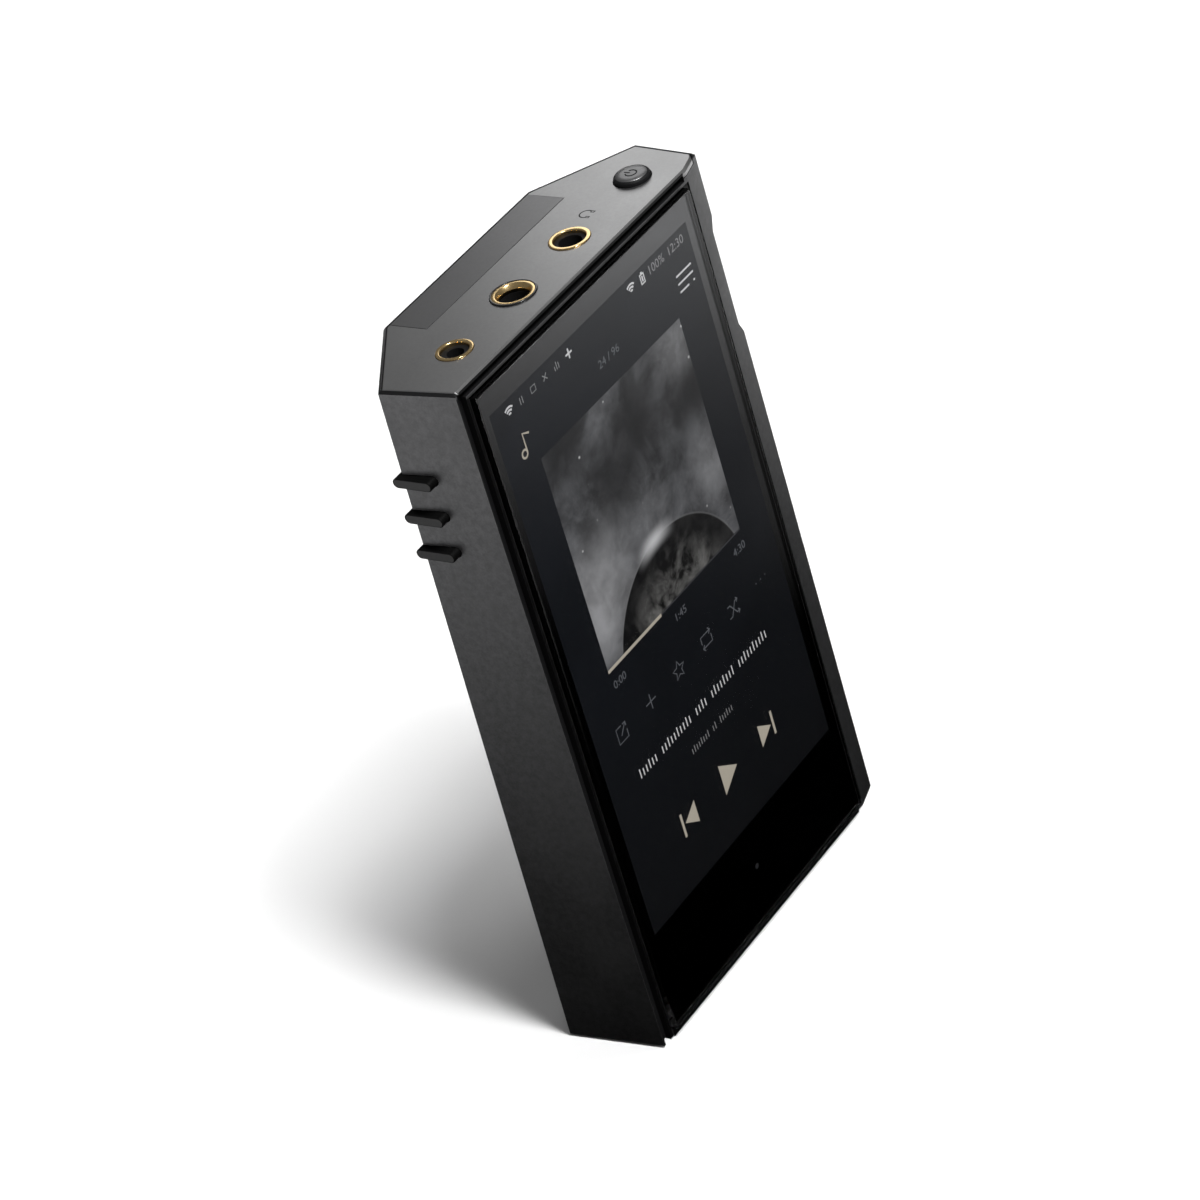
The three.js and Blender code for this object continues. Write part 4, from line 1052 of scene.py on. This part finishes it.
class PLAYER_OT_make_display(PieceOperator, bpy.types.Operator):
    """Make the lit page of the display with its picture, icons and numerals"""

    bl_idname = "player.make_display"
    bl_label = "Display page"

    def execute(self, context):
        icons = context.scene.player_colours.icons
        light = lit("icons_light", icons)
        bright = lit("icons_bright", (0.62, 0.62, 0.63))
        pale = lit("icons_pale", (0.22, 0.22, 0.225))
        dim = lit("icons_dim", (0.10, 0.105, 0.115))
        self.make_page()
        self.make_picture(*PICTURE_MIDDLE, PICTURE_SIDE)
        self.make_progress(PROGRESS_UP, *PROGRESS_ENDS, light)
        self.make_transport(*PLAY_MIDDLE, light)
        self.make_icons(context.scene.player_sizes.icon_line, bright, light, pale, dim)
        self.make_title("title_line", TITLE_WORDS, TITLE_UP, TITLE_SIZE, bright)
        self.make_title("artist_line", ARTIST_WORDS, ARTIST_UP, ARTIST_SIZE, pale)
        self.make_numerals(pale, dim)
        self.make_home_mark()
        return {"FINISHED"}

    def slab(self, name, low, high, depth, thickness, material):
        """Flat piece of the display between two corners given in millimetres of the screen."""
        front = GLASS_HIGH.y + depth
        bm = blocks((
            (SCREEN_CORNER.x + low[0] * MM, front, SCREEN_CORNER.z + low[1] * MM),
            (SCREEN_CORNER.x + high[0] * MM, front + thickness, SCREEN_CORNER.z + high[1] * MM)))
        new_piece(name, bm, "body", "screen", material)

    def make_page(self):
        self.slab(
            "display_page", (-PAGE_MARGIN, -PAGE_MARGIN),
            (SCREEN_WIDTH / MM + PAGE_MARGIN, SCREEN_HEIGHT / MM + PAGE_MARGIN),
            PAGE_DEPTH, PAGE_THICKNESS, screen_ground("display_page"))

    def make_picture(self, across, up, side):
        centre = SCREEN_CORNER + Vector((across * MM, 0, up * MM))
        self.slab(
            "cover_picture", (across - side / 2, up - side / 2), (across + side / 2, up + side / 2),
            ICON_DEPTH + 0.01 * MM, 0.012 * MM, cover_picture("cover_picture", centre, side * MM))

    def make_progress(self, up, left, played, right, light):
        """Broad bar as far as the song has played, and a thin one for the rest."""
        front = ICON_DEPTH - 0.005 * MM
        self.slab("progress_played", (left, up - 0.27), (played, up + 0.27), front, 0.01 * MM,
                  light)
        self.slab("progress_rest", (played, up - 0.1), (right, up + 0.1), front, 0.01 * MM,
                  lit("progress_rest", (0.05, 0.05, 0.055)))

    def make_transport(self, across, up, light):
        """Play triangle, and previous and next marks either side of it."""
        bm = bmesh.new()
        shapes = [PLAY_CORNERS]
        for side in (-1, 1):
            near, far, bar = SKIP_NEAR * side, SKIP_FAR * side, SKIP_BAR * side
            edge = bar + 0.5 * side
            shapes.append([(near, -2.0), (far, 0), (near, 2.0)])
            shapes.append([(bar, -2.1), (edge, -2.1), (edge, 2.1), (bar, 2.1)])
        for shape in shapes:
            corners = [bm.verts.new(((across + x) * MM, (up + z) * MM, 0)) for x, z in shape]
            thicken(bm, [bm.faces.new(corners)], Vector((0, 0, 0.01 * MM)))
        bmesh.ops.transform(bm, matrix=on_display(ICON_DEPTH), verts=bm.verts)
        new_piece("transport_marks", bm, "body", "screen", light)

    def make_icons(self, width, bright, light, pale, dim):
        row = (QUEUE_ICON, PLUS_ICON, star_icon(), REPEAT_ICON, SHUFFLE_ICON, DOTS_ICON)
        row = icons_in_row(row, ICON_ROW_START, ICON_ROW_UP, ICON_ROW_STEP)
        self.draw_lines("icon_row", row, width, dim)
        small = (PAUSE_ICON, SQUARE_ICON, CROSS_ICON, BARS_ICON)
        small = icons_in_row(small, STATUS_START, STATUS_UP, STATUS_STEP, STATUS_SCALE)
        self.draw_lines("status_row", small, width * 0.8, pale)
        shown = [line for mark in HEADER_MARKS for line in moved_icon(*mark)]
        self.draw_lines("header_marks", shown, width * 1.4, bright)
        self.draw_lines("note_mark", moved_icon(NOTE_ICON, *NOTE_PLACE), width * 1.5, light)

    def draw_lines(self, name, lines, width, material):
        mesh = line_mesh(lines, width)
        new_piece(name, gather([mesh], on_display(ICON_DEPTH)), "body", "screen", material)

    def make_title(self, name, words, up, size, material):
        """Placeholder for a line of words: plain strokes, close together within each word."""
        step = 0.85 * size
        gap = 1.1 * size
        total = sum(words) * 2 * step + gap * (len(words) - 1)
        at = (SCREEN_WIDTH / MM - total) / 2
        lines = []
        for word in words:
            for number in range(2 * word):
                tall = size * (1.0 if number % 3 == word % 3 else 0.62)
                lines.append(([(at, up - 0.62 * size), (at, up + tall)], False))
                at += step
            at += gap
        self.draw_lines(name, lines, 0.24 * size * MM, material)

    def make_numerals(self, pale, dim):
        for name, numerals, size, material in (
                ("clock_numerals", CLOCK_NUMERALS, CLOCK_SIZE, pale),
                ("time_numerals", TIME_NUMERALS, TIME_SIZE, dim)):
            meshes = [text_mesh(words, size, across, up) for words, across, up in numerals]
            new_piece(name, gather(meshes, on_display(ICON_DEPTH)), "body", "screen", material)

    def make_home_mark(self):
        middle = box_of("home_light")[2]
        bm = bmesh.new()
        bmesh.ops.create_circle(bm, cap_ends=True, radius=0.45 * MM, segments=32)
        thicken(bm, list(bm.faces), Vector((0, 0, 0.006 * MM)))
        place = Matrix.Translation((middle.x, GLASS_HIGH.y + 0.012 * MM, middle.z))
        bmesh.ops.transform(bm, matrix=place @ ONTO_FRONT, verts=bm.verts)
        new_piece("home_mark", bm, "body", "light_guide", lit("home_mark", (0.02, 0.02, 0.022)))


class PLAYER_OT_make_jacks(PieceOperator, bpy.types.Operator):
    """Make the plated rings of the three jacks and the collar of the middle one"""

    bl_idname = "player.make_jacks"
    bl_label = "Jacks"

    def execute(self, context):
        self.make_ring("jack_25", 0.65 * MM, 0.12 * MM)
        self.make_ring("jack_44", 0.95 * MM, 0.42 * MM)
        self.make_ring("jack_35", 0.72 * MM, 0.12 * MM)
        self.make_collar()
        return {"FINISHED"}

    def make_ring(self, name, width, flare):
        node = f"{name}_ring"
        low, high, middle = box_of(node)
        outer = (high.x - low.x) / 2
        inner = outer - width
        top = high.z - PLATE_TOP
        bottom = low.z - PLATE_TOP
        bm = spun([
            (inner, bottom),
            (outer, bottom),
            (outer, top),
            (inner + flare, top),
            (inner, top - flare * 1.6),
        ])
        soften(bm, 0.05 * MM, 3)
        bmesh.ops.translate(bm, vec=(middle.x, middle.y, PLATE_TOP), verts=bm.verts)
        new_piece(f"{name}_plated_ring", bm, "body", "gold", replaced=[node], smooth=50.0)

    def make_collar(self):
        low, high, middle = box_of("jack_44_collar")
        ring_low, ring_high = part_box("jack_44_ring")
        outer = (high.x - low.x) / 2
        inner = (ring_high.x - ring_low.x) / 2 + 0.02 * MM
        bm = spun([(inner, low.z), (outer, low.z), (outer, high.z), (inner, high.z)])
        soften(bm, 0.06 * MM, 3)
        bmesh.ops.translate(bm, vec=(middle.x, middle.y, 0), verts=bm.verts)
        new_piece("jack_44_black_collar", bm, "body", "black_gloss", replaced=["jack_44_collar"],
                  smooth=50.0)


class PLAYER_OT_make_power_key(PieceOperator, bpy.types.Operator):
    """Make the power key with its dished face and mark"""

    bl_idname = "player.make_power_key"
    bl_label = "Power key"

    def execute(self, context):
        low, high, middle = box_of("power_key")
        radius = POWER_RADIUS
        flange = (high.x - low.x) / 2
        top = high.z
        foot = PLATE_TOP - POWER_FLANGE_DEPTH
        under = foot - POWER_FLANGE
        place = Vector((middle.x, middle.y, 0))
        bm = spun([
            (0, low.z), (POWER_STEM, low.z), (POWER_STEM, under), (flange, under),
            (flange, foot), (radius, foot), (radius, top - 0.4 * MM),
            (radius - 0.3 * MM, top - 0.05 * MM), (radius - 0.42 * MM, top - 0.2 * MM),
            (0, top - 0.2 * MM),
        ])
        soften(bm, 0.1 * MM, 3)
        bmesh.ops.translate(bm, vec=place, verts=bm.verts)
        new_piece("power_key_body", bm, "power_key", "black_matte", replaced=["power_key"],
                  smooth=50.0)

        rim = radius - 0.32 * MM
        face = spun([
            (0, top), (1.5 * MM, top - 0.01 * MM), (rim - 0.15 * MM, top - 0.06 * MM),
            (rim, top - 0.2 * MM), (rim, top - 0.6 * MM), (0, top - 0.6 * MM),
        ])
        bmesh.ops.translate(face, vec=place, verts=face.verts)
        material = surface("power_face", (0.22, 0.22, 0.223), 0.42, 1.0, tone=0.05, spread=0.03)
        new_piece("power_key_face", face, "power_key", "wheel_dark", material, smooth=60.0)

        mark = line_mesh(POWER_ICON, 0.26 * MM, 0.6)
        spot = Matrix.Translation(place + Vector((0, 0, top - 0.02 * MM)))
        new_piece("power_mark", gather([mark], spot), "power_key", "black_matte")
        return {"FINISHED"}


class PLAYER_OT_make_side_keys(PieceOperator, bpy.types.Operator):
    """Make the three round-ended keys of the left side"""

    bl_idname = "player.make_side_keys"
    bl_label = "Side keys"

    def execute(self, context):
        for name in ("key_previous", "key_play", "key_next"):
            self.make_key(name, context.scene.player_sizes.key_edge)
        return {"FINISHED"}

    def make_key(self, name, edge):
        low, _, middle = box_of(name)
        at = Vector((low.x, SIDE_KEY_FRONT + KEY_LENGTH / 2, middle.z))
        bm = round_bar(KEY_LENGTH, KEY_THICKNESS)
        thicken(bm, list(bm.faces), Vector((KEY_REACH, 0, 0)))
        bmesh.ops.translate(bm, vec=at, verts=bm.verts)
        outer = low.x + 0.01 * MM
        soften(bm, edge, 3, limit=60.0, chosen=lambda e: all(v.co.x < outer for v in e.verts))
        # Painted shade: the sides of the bar get a darker black with little shine.
        new_piece(f"{name}_bar", bm, name, "black_matte", key_painted_tone_finish("key_bar_shaded", 0.003, 0.06),
                  replaced=[name], smooth=50.0)

        # Painted light: the outer face gets a lighter copy of the same black.
        face = round_bar(KEY_LENGTH - 2 * KEY_BORDER, KEY_THICKNESS - 2 * KEY_BORDER)
        thicken(face, list(face.faces), Vector((0.2 * MM, 0, 0)))
        bmesh.ops.translate(face, vec=at - Vector((0.02 * MM, 0, 0)), verts=face.verts)
        new_piece(f"{name}_face", face, name, "black_matte", key_painted_tone_finish("key_face", 0.016, 0.3),
                  smooth=50.0)


def key_painted_tone_finish(name, shade, specular):
    """Black finish shared by the same part of the three keys; the bars get a darker, less shiny
    copy and the faces a lighter one, as painted shade and painted light.
    """
    return bpy.data.materials.get(f"{name}_finish") or surface(
        name, (shade, shade, shade), 0.5, grain=0.12 * MM, relief=0.006 * MM, tone=0.15,
        specular=specular)


class PLAYER_OT_make_volume_wheel(PieceOperator, bpy.types.Operator):
    """Make the knurled volume wheel with its dished face, and the light ring round it"""

    bl_idname = "player.make_volume_wheel"
    bl_label = "Volume wheel"

    def execute(self, context):
        teeth = context.scene.player_sizes.wheel_teeth
        low, high, middle = box_of("volume_wheel")
        radius = (high.z - low.z) / 2
        width = high.x - low.x
        tooth = 0.2 * MM
        bm = bmesh.new()
        made = bmesh.ops.create_circle(bm, cap_ends=True, radius=radius, segments=4 * teeth)
        for number, vert in enumerate(made["verts"]):
            if number % 4 in (2, 3):
                vert.co *= (radius - tooth) / radius
        face = list(bm.faces)
        for rise, shrink in ((0.12 * MM, 0), (width - 0.45 * MM, 0), (0.2 * MM, 0.25 * MM),
                             (0.13 * MM, 0.35 * MM), (0, 0.7 * MM), (-0.1 * MM, 0.15 * MM),
                             (-0.15 * MM, 0.1 * MM), (-0.05 * MM, 1.2 * MM)):
            face = self.lift(bm, face, rise, shrink)
        place = Matrix.Translation((low.x, middle.y, middle.z)) @ ONTO_RIGHT
        bmesh.ops.transform(bm, matrix=place, verts=bm.verts)
        new_piece("volume_wheel_knurled", bm, "volume_wheel", "wheel_dark",
                  replaced=["volume_wheel"])
        self.make_light_ring()
        return {"FINISHED"}

    def lift(self, bm, faces, rise, shrink):
        """Extrudes the end of the wheel along its axis and draws it in towards the axis."""
        end = thicken(bm, faces, Vector((0, 0, rise)))
        verts = {vert for face in end for vert in face.verts}
        for vert in verts:
            distance = math.hypot(vert.co.x, vert.co.y)
            share = (distance - shrink) / distance
            vert.co.x *= share
            vert.co.y *= share
        return end

    def make_light_ring(self):
        low, high, middle = box_of("wheel_light_ring")
        outer = (high.z - low.z) / 2
        inner = outer - 0.45 * MM
        bm = spun([(inner, 0), (outer, 0), (outer, high.x - low.x), (inner, high.x - low.x)])
        soften(bm, 0.05 * MM, 2)
        place = Matrix.Translation((low.x, middle.y, middle.z)) @ ONTO_RIGHT
        bmesh.ops.transform(bm, matrix=place, verts=bm.verts)
        new_piece("wheel_glow_ring", bm, "body", "light_guide", replaced=["wheel_light_ring"],
                  smooth=50.0)


class PLAYER_OT_make_back(PieceOperator, bpy.types.Operator):
    """Make the back cover and the softened ports of the bottom"""

    bl_idname = "player.make_back"
    bl_label = "Back cover and ports"

    def execute(self, context):
        edge = context.scene.player_sizes.plate_edge
        softened_node("back_panel", "back_cover", "body", edge)
        softened_node("usb_shell", "usb_port", "body", edge)
        softened_node("card_shell", "card_socket", "body", edge)
        return {"FINISHED"}


class PLAYER_OT_make_stage(PieceOperator, bpy.types.Operator):
    """Make the pale floor, the sky and the lights"""

    bl_idname = "player.make_stage"
    bl_label = "Stage"

    def execute(self, context):
        studio = context.scene.player_studio
        self.make_floor()
        self.make_sky(context.scene)
        self.make_key_light(studio)
        self.make_plate_light(studio)
        context.scene.view_settings.view_transform = "Standard"
        return {"FINISHED"}

    def make_floor(self):
        bm = bmesh.new()
        bmesh.ops.create_grid(bm, x_segments=1, y_segments=1, size=FLOOR_HALF,
                              matrix=Matrix.Translation((0, 0, -FLOOR_DROP)))
        mesh = bpy.data.meshes.new("floor")
        bm.to_mesh(mesh)
        bm.free()
        mesh.materials.append(self.floor_finish())
        floor = bpy.data.objects.new("floor", mesh)
        bpy.context.scene.collection.objects.link(floor)

    def floor_finish(self):
        """White floor that is darker near the player in reflections and bounce light."""
        material = bpy.data.materials.new("floor")
        material.use_nodes = True
        tree = material.node_tree
        tree.nodes.clear()
        bounce = add_node(
            tree, "ShaderNodeEmission", Color=(1, 1, 1, 1), Strength=self.floor_glow(tree))
        white = add_node(tree, "ShaderNodeBsdfDiffuse", Color=(0.9, 0.9, 0.9, 1))
        pick_by_eye(tree, white, bounce, "ShaderNodeOutputMaterial")
        return material

    def floor_glow(self, tree):
        """Light from the floor: less near the player and in front, more in a patch at the right."""
        coords = tree.nodes.new("ShaderNodeTexCoord").outputs["Object"]
        place = parts_of(tree, coords)
        across = maths(tree, "ABSOLUTE", place["X"])
        along = maths(tree, "MULTIPLY", maths(tree, "ABSOLUTE", place["Y"]), 0.5)
        far = spread_value(tree, maths(tree, "ADD", across, along), FLOOR_DARK, FLOOR_BRIGHT)
        in_front = spread_value(
            tree, place["Y"], FRONT_FAR, FRONT_NEAR, FRONT_FAR_GLOW, FRONT_NEAR_GLOW)
        sides = [spread_value(tree, place[axis], start, stop) for axis, start, stop in PATCH_SIDES]
        patch = spread_value(tree, product(tree, *sides), 0.0, 1.0, 1.0, PATCH_GLOW)
        return product(tree, maths(tree, "POWER", far, FLOOR_FALL), FLOOR_GLOW, in_front, patch)

    def make_sky(self, scene):
        """White backdrop to the eye, and a soft grey room to the surfaces."""
        world = bpy.data.worlds.new("studio")
        scene.world = world
        world.use_nodes = True
        tree = world.node_tree
        tree.nodes.clear()
        coords = tree.nodes.new("ShaderNodeTexCoord").outputs["Generated"]
        rise = spread_value(tree, parts_of(tree, coords)["Z"], 0.0, 1.0, ROOM_LOW, ROOM_HIGH)
        room = add_node(tree, "ShaderNodeBackground", Color=(1, 1, 1, 1), Strength=rise)
        white = add_node(tree, "ShaderNodeBackground", Color=(1, 1, 1, 1), Strength=BACKDROP_GLOW)
        pick_by_eye(tree, white, room, "ShaderNodeOutputWorld")

    def add_sun(self, name, strength, spread, heading, height):
        """Distant light whose rays travel along a heading and fall at a height angle."""
        data = bpy.data.lights.new(name, "SUN")
        data.energy = strength
        data.angle = math.radians(spread)
        light = bpy.data.objects.new(name, data)
        fall = math.radians(height)
        level = Vector((*heading, 0)).normalized() * math.cos(fall)
        shines = level - Vector((0, 0, math.sin(fall)))
        light.rotation_euler = shines.to_track_quat("-Z", "Y").to_euler()
        bpy.context.scene.collection.objects.link(light)
        return light

    def make_key_light(self, studio):
        """Tall narrow light in front, as three parts, and a weak one at the right."""
        share = studio.key_light / len(KEY_HEIGHTS)
        for number, height in enumerate(KEY_HEIGHTS):
            self.add_sun(f"key_light_{number}", share, KEY_SPREAD, KEY_HEADING, height)
        side = self.add_sun("side_light", studio.side_light, SIDE_SPREAD, SIDE_HEADING, SIDE_HEIGHT)
        side.visible_glossy = False
        side.visible_transmission = False

    def make_plate_light(self, studio):
        """Soft box behind and to the right, which brightens the top plate."""
        data = bpy.data.lights.new("plate_light", "AREA")
        data.shape = "DISK"
        data.size = SOFT_BOX_SIZE
        data.energy = studio.plate_light
        light = bpy.data.objects.new("plate_light", data)
        light.location = SOFT_BOX_PLACE
        light.visible_camera = False
        aim = SOFT_BOX_TARGET - SOFT_BOX_PLACE
        light.rotation_euler = aim.to_track_quat("-Z", "Y").to_euler()
        bpy.context.scene.collection.objects.link(light)


class PLAYER_OT_make_view(PieceOperator, bpy.types.Operator):
    """Set up the camera"""

    bl_idname = "player.make_view"
    bl_label = "View"

    def execute(self, context):
        studio = context.scene.player_studio
        data = bpy.data.cameras.new("view")
        data.sensor_width = 36
        data.lens = studio.lens
        data.clip_start = 0.01
        camera = bpy.data.objects.new("view", data)
        camera.matrix_world = (
            Matrix.Translation(studio.place)
            @ Matrix.Rotation(-studio.heading, 4, "Z")
            @ Matrix.Rotation(math.pi / 2 - studio.pitch, 4, "X")
            @ Matrix.Rotation(studio.roll, 4, "Z")
        )
        context.scene.collection.objects.link(camera)
        context.scene.camera = camera
        return {"FINISHED"}


class PLAYER_PT_build(bpy.types.Panel):
    """Buttons for the pieces of the player"""

    bl_label = "Digital Audio Player"
    bl_idname = "PLAYER_PT_build"
    bl_space_type = "VIEW_3D"
    bl_region_type = "UI"
    bl_category = "Player"

    def draw(self, context):
        scene = context.scene
        for group in (scene.player_sizes, scene.player_colours, scene.player_studio):
            box = self.layout.box()
            for name in group.__annotations__:
                box.prop(group, name)
        for operator in OPERATORS:
            self.layout.operator(operator.bl_idname)


OPERATORS = (
    PLAYER_OT_finish_nodes,
    PLAYER_OT_make_housing,
    PLAYER_OT_make_top_plate,
    PLAYER_OT_make_glass,
    PLAYER_OT_make_display,
    PLAYER_OT_make_jacks,
    PLAYER_OT_make_power_key,
    PLAYER_OT_make_side_keys,
    PLAYER_OT_make_volume_wheel,
    PLAYER_OT_make_back,
    PLAYER_OT_make_stage,
    PLAYER_OT_make_view,
)
CLASSES = (PlayerSizes, PlayerColours, StudioSettings, *OPERATORS, PLAYER_PT_build)


def register():
    for made in CLASSES:
        bpy.utils.register_class(made)
    bpy.types.Scene.player_sizes = PointerProperty(type=PlayerSizes)
    bpy.types.Scene.player_colours = PointerProperty(type=PlayerColours)
    bpy.types.Scene.player_studio = PointerProperty(type=StudioSettings)


def unregister():
    del bpy.types.Scene.player_studio
    del bpy.types.Scene.player_colours
    del bpy.types.Scene.player_sizes
    for made in reversed(CLASSES):
        bpy.utils.unregister_class(made)


def main():
    register()
    bpy.ops.player.finish_nodes()
    bpy.ops.player.make_housing()
    bpy.ops.player.make_top_plate()
    bpy.ops.player.make_glass()
    bpy.ops.player.make_display()
    bpy.ops.player.make_jacks()
    bpy.ops.player.make_power_key()
    bpy.ops.player.make_side_keys()
    bpy.ops.player.make_volume_wheel()
    bpy.ops.player.make_back()
    bpy.ops.player.make_stage()
    bpy.ops.player.make_view()


if __name__ == "__main__":
    main()
